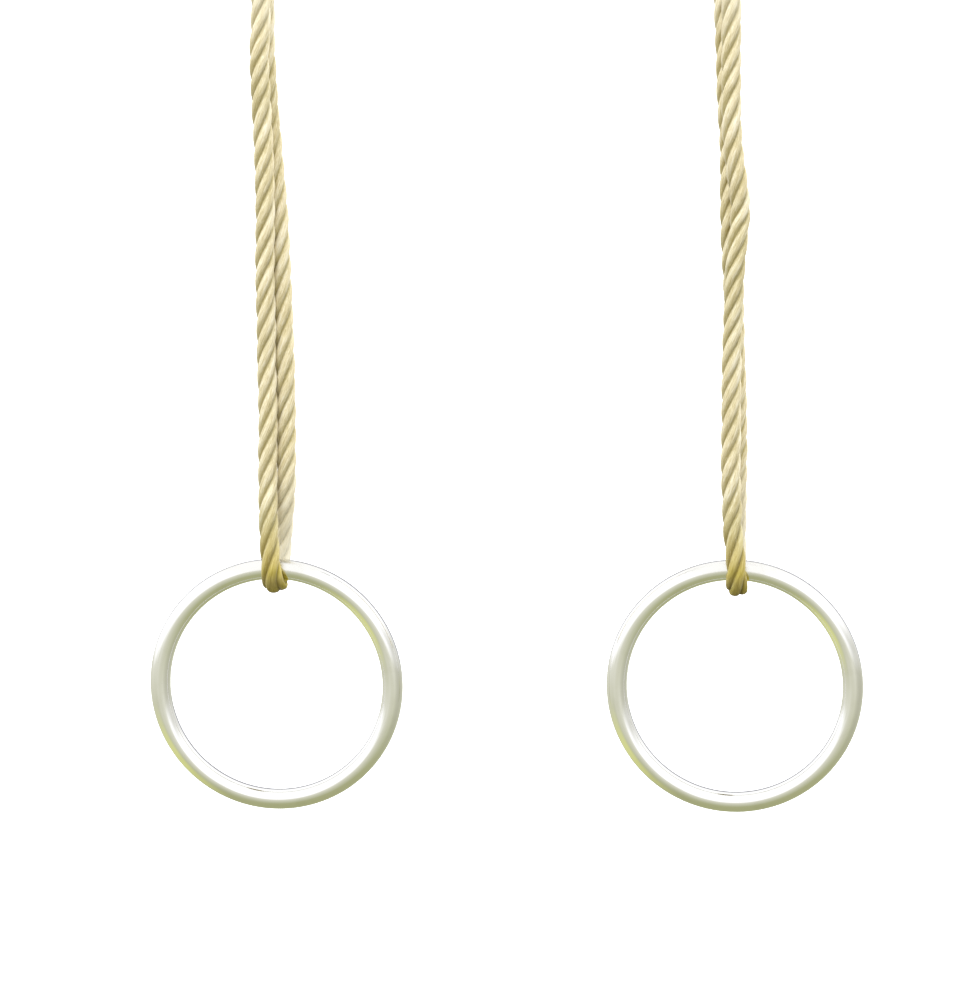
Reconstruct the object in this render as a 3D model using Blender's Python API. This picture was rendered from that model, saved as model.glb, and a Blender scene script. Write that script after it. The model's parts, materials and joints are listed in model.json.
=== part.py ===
"""Gymnastic rings: two polished steel rings, each on a doubled laid rope under a ceiling swivel.

Metres, +Z up. The origin is on the ceiling, midway between the two fittings, and the front is
towards -Y. Each side hangs as a chain: ceiling plate, swing eye with its swivel, snap hook,
thimble with the rope, and the ring in the rope's lower bend.
"""

import math

import bmesh
import bpy
from mathutils import Matrix, Vector

# The pair
SPACING = 0.386
CLEARANCE = 0.0003

# Ring
RING_INNER_RADIUS = 0.090
RING_BAR_RADIUS = 0.0086

# Ceiling plate with its two welded lugs
PLATE_WIDTH = 0.090
PLATE_THICKNESS = 0.006
PLATE_CORNER = 0.010
SCREW_HOLE_RADIUS = 0.0045
SCREW_INSET = 0.014
LUG_THICKNESS = 0.006
LUG_WALL = 0.0087
LUG_PLAY = 0.001

# Pivot bolt, nut and bush
BOLT_RADIUS = 0.006
BOLT_FLAT = 0.003
BOLT_HEAD_HEIGHT = 0.0075
NUT_HEIGHT = 0.010
THREAD_STANDOUT = 0.003
BUSH_WALL = 0.0024

# Swing eye, whose cap closes the swivel cup
EYE_WIDTH = 0.020
EYE_WALL = 0.006
EYE_HEADROOM = 0.005
NECK_WIDTH = 0.018
CAP_DROP = 0.007
CAP_THICKNESS = 0.008
SPIGOT_LENGTH = 0.005

# Ball swivel
STUD_RADIUS = 0.006
STUD_HOLE_PLAY = 0.0005
STUD_STANDOUT = 0.001
STUD_HEADROOM = 0.0015
SWIVEL_NUT_HEIGHT = 0.009
NUT_PIN_RADIUS = 0.0012
NUT_PIN_LENGTH = 0.023
RACE_PLAY = 0.001
RACE_SHOULDER = 0.00075
RACE_THICKNESS = 0.0025
GROOVE_DEPTH = 0.0008
BALL_RADIUS = 0.0025
BALL_COUNT = 6
CAGE_THICKNESS = 0.002
CAGE_WEB = 0.0006
CUP_WALL = 0.005
CUP_FLOOR = 0.006
CUP_CHAMFER = 0.0015

# Snap hook and its gate
COLLAR_RADIUS = 0.010
COLLAR_THICKNESS = 0.004
HOOK_NECK = 0.007
HOOK_BAR_RADIUS = 0.005
HOOK_BEND_RADIUS = 0.020
HOOK_LENGTH = 0.100
HINGE_DROP = 0.007
NOSE_RISE = 0.010
NOSE_GAP = 0.0005
TONGUE_THICKNESS = 0.004
TONGUE_RADIUS = 0.0042
GATE_RADIUS = 0.0047
GATE_HEAD_RADIUS = 0.0045
GATE_PIN_RADIUS = 0.0015
SPRING_WIRE_RADIUS = 0.0004
SPRING_TURNS = 5
SPRING_PITCH = 0.002
SPRING_BORE_RADIUS = 0.0023

# Thimble in the rope's upper eye
THIMBLE_EYE_RADIUS = 0.020
THIMBLE_SHEET = 0.003
THIMBLE_TAPER = math.radians(22)

# Rope and its seizing
ROPE_RADIUS = 0.008
LEG_GAP = 0.0004
ROPE_DROP = 0.500
SPREAD_HEIGHT = 0.070
LEAST_DEPTH = 0.002
TWINE_RADIUS = 0.0022
TWINE_SLACK = 0.0004
TWINE_STEP = 0.0049
SEIZING_TURNS = 6
SEIZING_BELOW_THROAT = 0.006
SPLICE_DEPTH = 0.010

# Each leg's wander, chosen by eye: height above the ring's bar as a share of the drop, front x, back x
LEFT_LEGS = (
    (1.000, 0.0000, 0.0000), (0.950, 0.0010, -0.0008), (0.883, 0.0020, -0.0019),
    (0.803, -0.0008, 0.0016), (0.703, 0.0001, 0.0049), (0.603, 0.0003, 0.0085),
    (0.503, -0.0010, 0.0101), (0.403, -0.0012, 0.0116), (0.303, -0.0017, 0.0118),
    (0.203, -0.0028, 0.0115), (0.143, -0.0027, 0.0110), (0.093, -0.0021, 0.0088),
    (0.043, -0.0006, 0.0059), (0.000, 0.0004, 0.0033),
)
RIGHT_LEGS = (
    (1.000, 0.0000, 0.0000), (0.950, 0.0006, -0.0020), (0.883, 0.0012, -0.0051),
    (0.803, 0.0006, -0.0038), (0.703, 0.0019, -0.0017), (0.603, 0.0059, -0.0017),
    (0.503, 0.0021, -0.0008), (0.403, 0.0009, 0.0014), (0.303, -0.0010, 0.0021),
    (0.203, -0.0020, 0.0024), (0.103, -0.0008, 0.0017), (0.043, 0.0001, 0.0013),
    (0.000, 0.0003, 0.0008),
)

# Facets
ROUND_SIDES = 18
SMALL_SIDES = 12
POCKET_SIDES = 10
CORNER_STEPS = 3
ROUND_END_STEPS = 10
HOOK_BEND_STEPS = 12
SPRING_STEPS = 8
RING_STEPS = 56
RING_SIDES = 12
THIMBLE_STEPS = 12
TROUGH_STEPS = 8
BIGHT_STEPS = 12
TWINE_STEPS = 24
ROPE_RUN = 0.030
SMOOTH_ANGLE = math.radians(35)

# Levels, worked down from the ceiling
BUSH_RADIUS = BOLT_RADIUS + CLEARANCE + BUSH_WALL
EYE_BORE_RADIUS = BUSH_RADIUS + CLEARANCE
EYE_RADIUS = EYE_BORE_RADIUS + EYE_WALL
LUG_RADIUS = BOLT_RADIUS + CLEARANCE + LUG_WALL
LUG_INSIDE = EYE_WIDTH / 2 + LUG_PLAY
LUG_OUTSIDE = LUG_INSIDE + LUG_THICKNESS
PIVOT_Z = -PLATE_THICKNESS - EYE_RADIUS - EYE_HEADROOM
CAP_TOP = PIVOT_Z - LUG_RADIUS - CAP_DROP
CAP_UNDERSIDE = CAP_TOP - CAP_THICKNESS
SPIGOT_END = CAP_UNDERSIDE - SPIGOT_LENGTH
STUD_TOP = SPIGOT_END - STUD_HEADROOM
SWIVEL_NUT_TOP = STUD_TOP - STUD_STANDOUT
SWIVEL_NUT_END = SWIVEL_NUT_TOP - SWIVEL_NUT_HEIGHT
UPPER_RACE_TOP = SWIVEL_NUT_END - CLEARANCE
BALL_STANDOFF = BALL_RADIUS + CLEARANCE - GROOVE_DEPTH
BALL_Z = UPPER_RACE_TOP - RACE_THICKNESS - BALL_STANDOFF
LOWER_RACE_END = BALL_Z - BALL_STANDOFF - RACE_THICKNESS
CUP_FLOOR_TOP = LOWER_RACE_END - CLEARANCE
CUP_UNDERSIDE = CUP_FLOOR_TOP - CUP_FLOOR
COLLAR_TOP = CUP_UNDERSIDE - CLEARANCE
HOOK_TOP = COLLAR_TOP - COLLAR_THICKNESS - HOOK_NECK
HOOK_BOTTOM = HOOK_TOP - HOOK_LENGTH
HINGE_Z = HOOK_TOP - HOOK_BEND_RADIUS - HINGE_DROP
NOSE_Z = HOOK_BOTTOM + HOOK_BEND_RADIUS + NOSE_RISE
TROUGH_INSIDE = ROPE_RADIUS + CLEARANCE
TROUGH_OUTSIDE = TROUGH_INSIDE + THIMBLE_SHEET
EYE_BEND_RADIUS = THIMBLE_EYE_RADIUS + TROUGH_OUTSIDE
EYE_BEND_Z = HOOK_BOTTOM + HOOK_BAR_RADIUS + CLEARANCE - THIMBLE_EYE_RADIUS
HALF_GAP = ROPE_RADIUS + LEG_GAP / 2
THROAT_RUN = (EYE_BEND_RADIUS * math.cos(THIMBLE_TAPER) - HALF_GAP) / math.sin(THIMBLE_TAPER)
THROAT_Z = (
    EYE_BEND_Z
    - EYE_BEND_RADIUS * math.sin(THIMBLE_TAPER)
    - THROAT_RUN * math.cos(THIMBLE_TAPER)
)
SEIZING_TOP = THROAT_Z - SEIZING_BELOW_THROAT
SEIZING_END = SEIZING_TOP - SEIZING_TURNS * TWINE_STEP - 2 * TWINE_RADIUS
RING_BAR_Z = SEIZING_END - ROPE_DROP
RING_RADIUS = RING_INNER_RADIUS + RING_BAR_RADIUS
RING_Z = RING_BAR_Z - RING_RADIUS
BIGHT_RADIUS = RING_BAR_RADIUS + CLEARANCE + ROPE_RADIUS

# Widths inside the swivel
RACE_INNER_RADIUS = STUD_RADIUS + RACE_PLAY
RACE_OUTER_RADIUS = RACE_INNER_RADIUS + 2 * (BALL_RADIUS + RACE_SHOULDER)
BALL_CIRCLE = (RACE_INNER_RADIUS + RACE_OUTER_RADIUS) / 2
POCKET_RADIUS = BALL_RADIUS + CLEARANCE
CUP_BORE_RADIUS = RACE_OUTER_RADIUS + 2 * CLEARANCE
CUP_RADIUS = CUP_BORE_RADIUS + CUP_WALL


def finish(name, colour, roughness, metallic):
    material = bpy.data.materials.new(name)
    material.use_nodes = True
    shader = material.node_tree.nodes["Principled BSDF"]
    shader.inputs["Base Color"].default_value = (*colour, 1)
    shader.inputs["Roughness"].default_value = roughness
    shader.inputs["Metallic"].default_value = metallic
    return material


def piece(name, data, material, at=(0, 0, 0), turn=None):
    """An object named name at a place, turned by a rotation matrix."""
    made = bpy.data.objects.new(name, data)
    bpy.context.collection.objects.link(made)
    made.matrix_world = Matrix.Translation(at) @ (turn or Matrix.Identity(4))
    made.data.materials.append(material)
    return made


def guide(made):
    """Marks an object that only cuts or joins another."""
    made.hide_render = True
    made.display_type = "WIRE"
    return made


def boolean(made, operation, others):
    for other in others:
        modifier = made.modifiers.new(other.name, "BOOLEAN")
        modifier.operation = operation
        modifier.object = guide(other)


def closed_mesh(name, build):
    """A mesh that build fills, with doubled points joined and its faces turned outwards."""
    form = bmesh.new()
    build(form)
    bmesh.ops.remove_doubles(form, verts=form.verts[:], dist=1e-6)
    bmesh.ops.recalc_face_normals(form, faces=form.faces[:])
    mesh = bpy.data.meshes.new(name)
    form.to_mesh(mesh)
    form.free()
    return mesh


def turned(name, outline, sides=ROUND_SIDES):
    """A closed outline of (radius, height) points, spun about Z."""

    def build(form):
        corners = [form.verts.new((radius, 0, height)) for radius, height in outline]
        for first, second in zip(corners, corners[1:] + corners[:1]):
            if first.co.x > 0 or second.co.x > 0:
                form.edges.new((first, second))
        bmesh.ops.spin(
            form,
            geom=form.verts[:] + form.edges[:],
            cent=(0, 0, 0),
            axis=(0, 0, 1),
            angle=math.tau,
            steps=sides,
            use_merge=True,
        )

    mesh = closed_mesh(name, build)
    mesh.shade_smooth()
    mesh.set_sharp_from_angle(angle=SMOOTH_ANGLE)
    return mesh


def rod(name, radius, low, high, sides=ROUND_SIDES):
    return turned(name, ((0, low), (radius, low), (radius, high), (0, high)), sides)


def circle(radius, sides=ROUND_SIDES, centre=(0, 0)):
    turns = [math.tau * (step + 0.5) / sides for step in range(sides)]
    return [
        (centre[0] + radius * math.cos(turn), centre[1] + radius * math.sin(turn))
        for turn in turns
    ]


def hexagon(flat):
    return circle(flat / math.cos(math.pi / 6), 6)


def prism(name, outlines, thickness):
    """Flat outlines, the first the rim and the rest holes, made thick both ways along Z."""
    flat = bpy.data.curves.new(name, "CURVE")
    flat.dimensions = "2D"
    flat.fill_mode = "BOTH"
    flat.extrude = thickness / 2
    for outline in outlines:
        spline = flat.splines.new("POLY")
        spline.points.add(len(outline) - 1)
        spline.use_cyclic_u = True
        for point, (across, up) in zip(spline.points, outline):
            point.co = (across, up, 0, 1)
    holder = bpy.data.objects.new(name, flat)
    graph = bpy.context.evaluated_depsgraph_get()
    bpy.context.collection.objects.link(holder)
    graph.update()
    mesh = bpy.data.meshes.new_from_object(holder.evaluated_get(graph))
    bpy.data.objects.remove(holder)
    return closed_mesh(name, lambda form: form.from_mesh(mesh))


def block(name, low, high):
    def build(form):
        bmesh.ops.create_cube(form, size=1)
        middle = (Vector(low) + Vector(high)) / 2
        for vert in form.verts:
            vert.co = Vector(a * b for a, b in zip(vert.co, Vector(high) - Vector(low))) + middle

    return closed_mesh(name, build)


def tube(name, points, radius, resolution):
    """A round tube on straight runs between the points, with filled ends."""
    line = bpy.data.curves.new(name, "CURVE")
    line.dimensions = "3D"
    line.bevel_depth = radius
    line.bevel_resolution = resolution
    line.use_fill_caps = True
    spline = line.splines.new("POLY")
    spline.points.add(len(points) - 1)
    for point, place in zip(spline.points, points):
        point.co = (*place, 1)
    return line


def tube_mesh(name, points, radius, resolution):
    """The same tube as a mesh, which a Boolean can take."""
    holder = bpy.data.objects.new(name, tube(name, points, radius, resolution))
    bpy.context.collection.objects.link(holder)
    graph = bpy.context.evaluated_depsgraph_get()
    graph.update()
    mesh = bpy.data.meshes.new_from_object(holder.evaluated_get(graph))
    bpy.data.objects.remove(holder)
    return closed_mesh(name, lambda form: form.from_mesh(mesh))


def arc(centre, radius, start, end, steps):
    """Points of an arc in a plane, as (across, up) pairs, angles in radians."""
    turns = [start + (end - start) * step / steps for step in range(steps + 1)]
    return [
        (centre[0] + radius * math.cos(turn), centre[1] + radius * math.sin(turn))
        for turn in turns
    ]


def smooth_route(route, longest):
    """A Catmull-Rom curve through the route's points, read so that no run is much over longest."""
    ends = [2 * route[0] - route[1], *route, 2 * route[-1] - route[-2]]
    points = []
    for before, start, end, after in zip(ends, ends[1:], ends[2:], ends[3:]):
        samples = max(1, round((end - start).length / longest))
        for sample in range(samples):
            t = sample / samples
            points.append(
                0.5
                * (
                    2 * start
                    + (end - before) * t
                    + (2 * before - 5 * start + 4 * end - after) * t**2
                    + (3 * start - before - 3 * end + after) * t**3
                )
            )
    return points + [route[-1]]


def axis_empty(name, at, parent):
    """The parent of a moving body's pieces, on its joint's axis."""
    empty = bpy.data.objects.new(name, None)
    bpy.context.collection.objects.link(empty)
    empty.empty_display_size = 0.02
    empty.matrix_world = Matrix.Translation(at)
    if parent:
        attach(parent, empty)
    return empty


def attach(parent, *children):
    """Parents the children where they stand."""
    bpy.context.view_layer.update()
    for child in children:
        child.parent = parent
        child.matrix_parent_inverse = parent.matrix_world.inverted()


# Rotations that turn a Z-wise form to lie along Y, and an XY outline to stand in the XZ plane
ALONG_Y = Matrix.Rotation(math.radians(90), 4, "X")


def ceiling_plate(side, x):
    """A square plate with four screw holes and two lugs welded under it."""
    half = PLATE_WIDTH / 2
    corner = half - PLATE_CORNER
    rim = []
    for quarter, (across, up) in enumerate(((1, 1), (-1, 1), (-1, -1), (1, -1))):
        start = quarter * math.pi / 2
        centre = (across * corner, up * corner)
        rim += arc(centre, PLATE_CORNER, start, start + math.pi / 2, CORNER_STEPS)
    hole = half - SCREW_INSET
    holes = [
        circle(SCREW_HOLE_RADIUS, SMALL_SIDES, (across * hole, up * hole))
        for across in (-1, 1)
        for up in (-1, 1)
    ]
    form = prism("plate", [rim, *holes], PLATE_THICKNESS)
    plate = piece(f"ceiling_plate_{side}", form, ZINC, (x, 0, -PLATE_THICKNESS / 2))
    weld_depth = PLATE_THICKNESS / 3
    lug_top = -PIVOT_Z - PLATE_THICKNESS + weld_depth
    outline = [(LUG_RADIUS, lug_top), (-LUG_RADIUS, lug_top)]
    outline += arc((0, 0), LUG_RADIUS, math.pi, math.tau, ROUND_END_STEPS)
    lug = prism("lug", [outline, circle(BOLT_RADIUS + CLEARANCE)], LUG_THICKNESS)
    lugs = []
    for end in (-1, 1):
        place = (x, end * (LUG_INSIDE + LUG_OUTSIDE) / 2, PIVOT_Z)
        lugs.append(piece(f"lug_{side}_{end}", lug, ZINC, place, ALONG_Y))
    boolean(plate, "UNION", lugs)


def pivot_fasteners(side, x):
    """The bolt that the fitting swings on, its nut, and the brass bush that turns on it, which it returns."""
    reach = LUG_OUTSIDE + CLEARANCE
    shank_end = reach + NUT_HEIGHT + THREAD_STANDOUT
    head = prism("bolt_head", [hexagon(BOLT_RADIUS + BOLT_FLAT)], BOLT_HEAD_HEIGHT)
    half_head = BOLT_HEAD_HEIGHT / 2
    bolt = piece(f"pivot_bolt_{side}", head, ZINC, (x, -reach - half_head, PIVOT_Z), ALONG_Y)
    shank = rod("shank", BOLT_RADIUS, -shank_end, reach + half_head)
    boolean(bolt, "UNION", [piece(f"bolt_shank_{side}", shank, ZINC, (x, 0, PIVOT_Z), ALONG_Y)])
    outlines = [hexagon(BOLT_RADIUS + BOLT_FLAT), circle(BOLT_RADIUS + CLEARANCE)]
    nut_at = (x, reach + NUT_HEIGHT / 2, PIVOT_Z)
    piece(f"pivot_nut_{side}", prism("nut", outlines, NUT_HEIGHT), ZINC, nut_at, ALONG_Y)
    outlines = [circle(BUSH_RADIUS), circle(BOLT_RADIUS + CLEARANCE)]
    bush_mesh = prism("bush", outlines, 2 * (LUG_INSIDE - CLEARANCE))
    return piece(f"pivot_bush_{side}", bush_mesh, BRASS, (x, 0, PIVOT_Z), ALONG_Y)


def swing_eye(side, x):
    """An eye on a flat neck, over the round cap that screws into the swivel cup."""
    cap = turned(
        "swing_eye",
        (
            (0, SPIGOT_END), (CUP_BORE_RADIUS - CLEARANCE, SPIGOT_END),
            (CUP_BORE_RADIUS - CLEARANCE, CAP_UNDERSIDE), (CUP_RADIUS, CAP_UNDERSIDE),
            (CUP_RADIUS, CAP_TOP - CUP_CHAMFER), (CUP_RADIUS - CUP_CHAMFER, CAP_TOP), (0, CAP_TOP),
        ),
    )
    eye = piece(f"swing_eye_{side}", cap, ZINC, (x, 0, 0))
    width = NECK_WIDTH / 2
    depth = EYE_WIDTH / 2
    neck_low = CAP_TOP - CAP_THICKNESS / 2
    neck = block("neck", (-width, -depth, neck_low), (width, depth, PIVOT_Z))
    loop = rod("loop", EYE_RADIUS, -depth, depth)
    bore = rod("bore", EYE_BORE_RADIUS, -EYE_WIDTH, EYE_WIDTH)
    boolean(
        eye,
        "UNION",
        [
            piece(f"eye_neck_{side}", neck, ZINC, (x, 0, 0)),
            piece(f"eye_loop_{side}", loop, ZINC, (x, 0, PIVOT_Z), ALONG_Y),
        ],
    )
    cutter = piece(f"eye_bore_{side}", bore, ZINC, (x, 0, PIVOT_Z), ALONG_Y)
    boolean(eye, "DIFFERENCE", [cutter])
    return eye


def swivel_cup(side, x):
    hole = STUD_RADIUS + STUD_HOLE_PLAY
    top = CAP_UNDERSIDE - CLEARANCE
    outline = (
        (hole, CUP_UNDERSIDE), (CUP_RADIUS - CUP_CHAMFER, CUP_UNDERSIDE),
        (CUP_RADIUS, CUP_UNDERSIDE + CUP_CHAMFER), (CUP_RADIUS, top), (CUP_BORE_RADIUS, top),
        (CUP_BORE_RADIUS, CUP_FLOOR_TOP), (hole, CUP_FLOOR_TOP),
    )
    return piece(f"swivel_cup_{side}", turned("swivel_cup", outline), ZINC, (x, 0, 0))


def race(name, x, flat_z, ball_side):
    """A hardened washer with a ball groove; ball_side is 1 where the balls lie above it."""
    outline = [(RACE_OUTER_RADIUS, 0), (RACE_OUTER_RADIUS, RACE_THICKNESS)]
    spread = math.acos(1 - GROOVE_DEPTH / POCKET_RADIUS)
    centre = (BALL_CIRCLE, RACE_THICKNESS + POCKET_RADIUS - GROOVE_DEPTH)
    outline += arc(centre, POCKET_RADIUS, -math.pi / 2 + spread, -math.pi / 2 - spread, 2)
    outline += [(RACE_INNER_RADIUS, RACE_THICKNESS), (RACE_INNER_RADIUS, 0)]
    form = turned(name, [(radius, ball_side * height) for radius, height in outline])
    return piece(name, form, BEARING_STEEL, (x, 0, flat_z))


def ball_set(side, x):
    """The bearing's balls, and the brass cage that spaces them."""
    places = [
        (BALL_CIRCLE * math.cos(turn), BALL_CIRCLE * math.sin(turn))
        for turn in (math.tau * ball / BALL_COUNT for ball in range(BALL_COUNT))
    ]

    def build(form):
        bmesh.ops.create_icosphere(form, subdivisions=2, radius=BALL_RADIUS)

    ball_mesh = closed_mesh("ball", build)
    ball_mesh.shade_smooth()
    balls = [
        piece(f"bearing_ball_{side}_{number}", ball_mesh, BEARING_STEEL, (x + across, up, BALL_Z))
        for number, (across, up) in enumerate(places, 1)
    ]
    reach = POCKET_RADIUS + CAGE_WEB
    outlines = [circle(BALL_CIRCLE + reach), circle(BALL_CIRCLE - reach)]
    outlines += [circle(POCKET_RADIUS, POCKET_SIDES, place) for place in places]
    cage = prism("cage", outlines, CAGE_THICKNESS)
    return [*balls, piece(f"ball_cage_{side}", cage, BRASS, (x, 0, BALL_Z))]


def swivel_nut(side, x, pin_hole):
    outlines = [hexagon(STUD_RADIUS + BOLT_FLAT), circle(STUD_RADIUS + CLEARANCE)]
    form = prism("swivel_nut", outlines, SWIVEL_NUT_HEIGHT)
    nut = piece(f"swivel_nut_{side}", form, ZINC, (x, 0, (SWIVEL_NUT_TOP + SWIVEL_NUT_END) / 2))
    boolean(nut, "DIFFERENCE", [pin_hole])
    return nut


def hook_route(turn):
    """The hook bar's centre line in the XZ plane, from its nose round to the gate's hinge."""
    side_x = HOOK_BEND_RADIUS
    low = HOOK_BOTTOM + HOOK_BEND_RADIUS
    high = HOOK_TOP - HOOK_BEND_RADIUS
    bar_end = HINGE_Z + GATE_RADIUS + CLEARANCE
    route = [(side_x, NOSE_Z)]
    route += arc((0, low), HOOK_BEND_RADIUS, 0, -math.pi, HOOK_BEND_STEPS)
    route += arc((0, high), HOOK_BEND_RADIUS, math.pi, 0, HOOK_BEND_STEPS)
    route += [(side_x, bar_end)]
    return [(turn * across, 0, up) for across, up in route]


def snap_hook(side, x, turn, pin_hole):
    """A round bar bent to a long eye, with the swivel's stud above it and a tongue for the gate."""
    bar = tube_mesh("snap_hook", hook_route(turn), HOOK_BAR_RADIUS, 2)
    hook = piece(f"snap_hook_{side}", bar, ZINC, (x, 0, 0))
    stud = turned(
        "stud",
        (
            (0, HOOK_TOP), (STUD_RADIUS, HOOK_TOP), (STUD_RADIUS, COLLAR_TOP - COLLAR_THICKNESS),
            (COLLAR_RADIUS, COLLAR_TOP - COLLAR_THICKNESS), (COLLAR_RADIUS, COLLAR_TOP),
            (STUD_RADIUS, COLLAR_TOP), (STUD_RADIUS, STUD_TOP), (0, STUD_TOP),
        ),
    )
    root = HINGE_Z + GATE_RADIUS + HINGE_DROP / 2
    outline = [(TONGUE_RADIUS, root - HINGE_Z), (-TONGUE_RADIUS, root - HINGE_Z)]
    outline += arc((0, 0), TONGUE_RADIUS, math.pi, math.tau, ROUND_END_STEPS)
    hole = circle(GATE_PIN_RADIUS + CLEARANCE, SMALL_SIDES)
    hinge = (x + turn * HOOK_BEND_RADIUS, 0, HINGE_Z)
    form = prism("tongue", [outline, hole], TONGUE_THICKNESS)
    tongue = piece(f"hook_tongue_{side}", form, ZINC, hinge, ALONG_Y)
    boolean(hook, "UNION", [piece(f"hook_stud_{side}", stud, ZINC, (x, 0, 0)), tongue])
    boolean(hook, "DIFFERENCE", [pin_hole])
    return hook


def gate_set(side, x, turn):
    """The hook's gate, forked over the tongue, with its pin and the coil spring inside it."""
    hinge = (x + turn * HOOK_BEND_RADIUS, 0, HINGE_Z)
    length = HINGE_Z - NOSE_Z - NOSE_GAP
    bar = rod("gate", GATE_RADIUS, -length, 2 * GATE_RADIUS)
    gate = piece(f"gate_{side}", bar, ZINC, hinge)
    outline = [(-2 * GATE_RADIUS, -2 * length), (2 * GATE_RADIUS, -2 * length)]
    outline += arc((0, 0), GATE_HEAD_RADIUS, 0, math.pi, ROUND_END_STEPS)
    rounding = prism("rounding", [outline], 4 * GATE_RADIUS)
    boolean(gate, "INTERSECT", [piece(f"gate_rounding_{side}", rounding, ZINC, hinge, ALONG_Y)])
    half_slot = TONGUE_THICKNESS / 2 + CLEARANCE
    slot_end = TONGUE_RADIUS + CLEARANCE
    wide = 2 * GATE_RADIUS
    slot = block("slot", (-wide, -half_slot, -slot_end), (wide, half_slot, wide))
    spring_length = SPRING_TURNS * SPRING_PITCH
    spring_top = -slot_end - SPRING_WIRE_RADIUS
    bore_end = spring_top - spring_length - SPRING_WIRE_RADIUS - CLEARANCE
    bore = rod("spring_bore", SPRING_BORE_RADIUS, bore_end, -slot_end + CLEARANCE, SMALL_SIDES)
    pin_hole = rod("gate_pin_hole", GATE_PIN_RADIUS + CLEARANCE, -wide, wide, SMALL_SIDES)
    cuts = [
        piece(f"gate_slot_{side}", slot, ZINC, hinge),
        piece(f"gate_spring_bore_{side}", bore, ZINC, hinge),
        piece(f"gate_pin_hole_{side}", pin_hole, ZINC, hinge, ALONG_Y),
    ]
    boolean(gate, "DIFFERENCE", cuts)
    pin_length = GATE_RADIUS - CLEARANCE
    pin = rod("gate_pin", GATE_PIN_RADIUS, -pin_length, pin_length, SMALL_SIDES)
    coil_radius = SPRING_BORE_RADIUS - CLEARANCE - SPRING_WIRE_RADIUS
    coil = [
        (
            coil_radius * math.cos(math.tau * step / SPRING_STEPS),
            coil_radius * math.sin(math.tau * step / SPRING_STEPS),
            spring_top - SPRING_PITCH * step / SPRING_STEPS,
        )
        for step in range(SPRING_STEPS * SPRING_TURNS + 1)
    ]
    spring = tube("gate_spring", coil, SPRING_WIRE_RADIUS, 0)
    return (
        gate,
        piece(f"gate_pin_{side}", pin, BEARING_STEEL, hinge, ALONG_Y),
        piece(f"gate_spring_{side}", spring, BEARING_STEEL, hinge),
    )


def eye_route():
    """The rope's centre line in the thimble, back to front, as (y, z) pairs set out for flat runs."""
    spread = math.pi + 2 * THIMBLE_TAPER
    outward = 1 / math.cos(spread / THIMBLE_STEPS / 2)
    reach = EYE_BEND_RADIUS * outward
    bend = arc((0, EYE_BEND_Z), reach, -THIMBLE_TAPER, math.pi + THIMBLE_TAPER, THIMBLE_STEPS)
    end_y = TROUGH_OUTSIDE + CLEARANCE
    run = (reach * math.cos(THIMBLE_TAPER) - end_y) / math.sin(THIMBLE_TAPER)
    end_z = bend[0][1] - run * math.cos(THIMBLE_TAPER)
    return [(end_y, end_z), *bend, (-end_y, end_z)]


def thimble(side, x):
    """A trough of bent sheet, drop-shaped, that keeps the rope's eye open on the hook."""
    route = eye_route()

    def build(form):
        rings = []
        for number, (y, z) in enumerate(route):
            before = Vector(route[max(number - 1, 0)])
            after = Vector(route[min(number + 1, len(route) - 1)])
            along = (after - before).normalized()
            inward = Vector((-along.y, along.x))
            section = arc((0, 0), TROUGH_OUTSIDE, -math.pi / 2, math.pi / 2, TROUGH_STEPS)
            section += arc((0, 0), TROUGH_INSIDE, math.pi / 2, -math.pi / 2, TROUGH_STEPS)
            rings.append(
                [
                    form.verts.new((across, y + inward.x * depth, z + inward.y * depth))
                    for depth, across in section
                ]
            )
        for first, second in zip(rings, rings[1:]):
            for corner in range(len(first)):
                following = (corner + 1) % len(first)
                form.faces.new((first[corner], first[following], second[following], second[corner]))
        for ends in (rings[0], rings[-1]):
            last = len(ends) - 1
            for corner in range(TROUGH_STEPS):
                inner = last - corner
                form.faces.new((ends[corner], ends[corner + 1], ends[inner - 1], ends[inner]))

    return piece(f"thimble_{side}", closed_mesh("thimble", build), ZINC, (x, 0, 0))


def leg_depth(share, across):
    """How far each leg lies before or behind the middle: beside its twin, then parting for the bar."""
    gap = 2 * HALF_GAP
    touching = max(LEAST_DEPTH, math.sqrt(max(0, gap**2 - across**2)) / 2)
    near = min(1, max(0, 1 - share * ROPE_DROP / SPREAD_HEIGHT))
    return touching + (BIGHT_RADIUS - touching) * near**2 * (3 - 2 * near)


def rope_route(legs):
    """The rope's points: up the back from the splice, over the thimble, down, round the bar and back up."""
    splice_z = SEIZING_TOP - SPLICE_DEPTH
    eye = [Vector((0, y, z)) for y, z in eye_route()]
    throat = [(HALF_GAP, splice_z + CLEARANCE / 2), (HALF_GAP, SEIZING_TOP), (HALF_GAP, THROAT_Z)]
    route = [Vector((0, y, z)) for y, z in throat]
    route += eye
    route += [Vector((0, -y, z)) for y, z in reversed(throat[1:])]
    for share, front, back in legs:
        depth = leg_depth(share, back - front)
        route.append(Vector((front, -depth, RING_BAR_Z + share * ROPE_DROP)))
    bight_start, bight_end = legs[-1][1], legs[-1][2]
    outward = 1 / math.cos(math.pi / BIGHT_STEPS / 2)
    for step in range(1, BIGHT_STEPS):
        turn = math.pi * step / BIGHT_STEPS
        across = bight_start + (bight_end - bight_start) * step / BIGHT_STEPS
        reach = BIGHT_RADIUS * outward
        route.append(Vector((across, -reach * math.cos(turn), RING_BAR_Z - reach * math.sin(turn))))
    for share, front, back in reversed(legs):
        depth = leg_depth(share, back - front)
        route.append(Vector((back, depth, RING_BAR_Z + share * ROPE_DROP)))
    route.append(Vector((0, HALF_GAP, splice_z - CLEARANCE / 2)))
    return route


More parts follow.
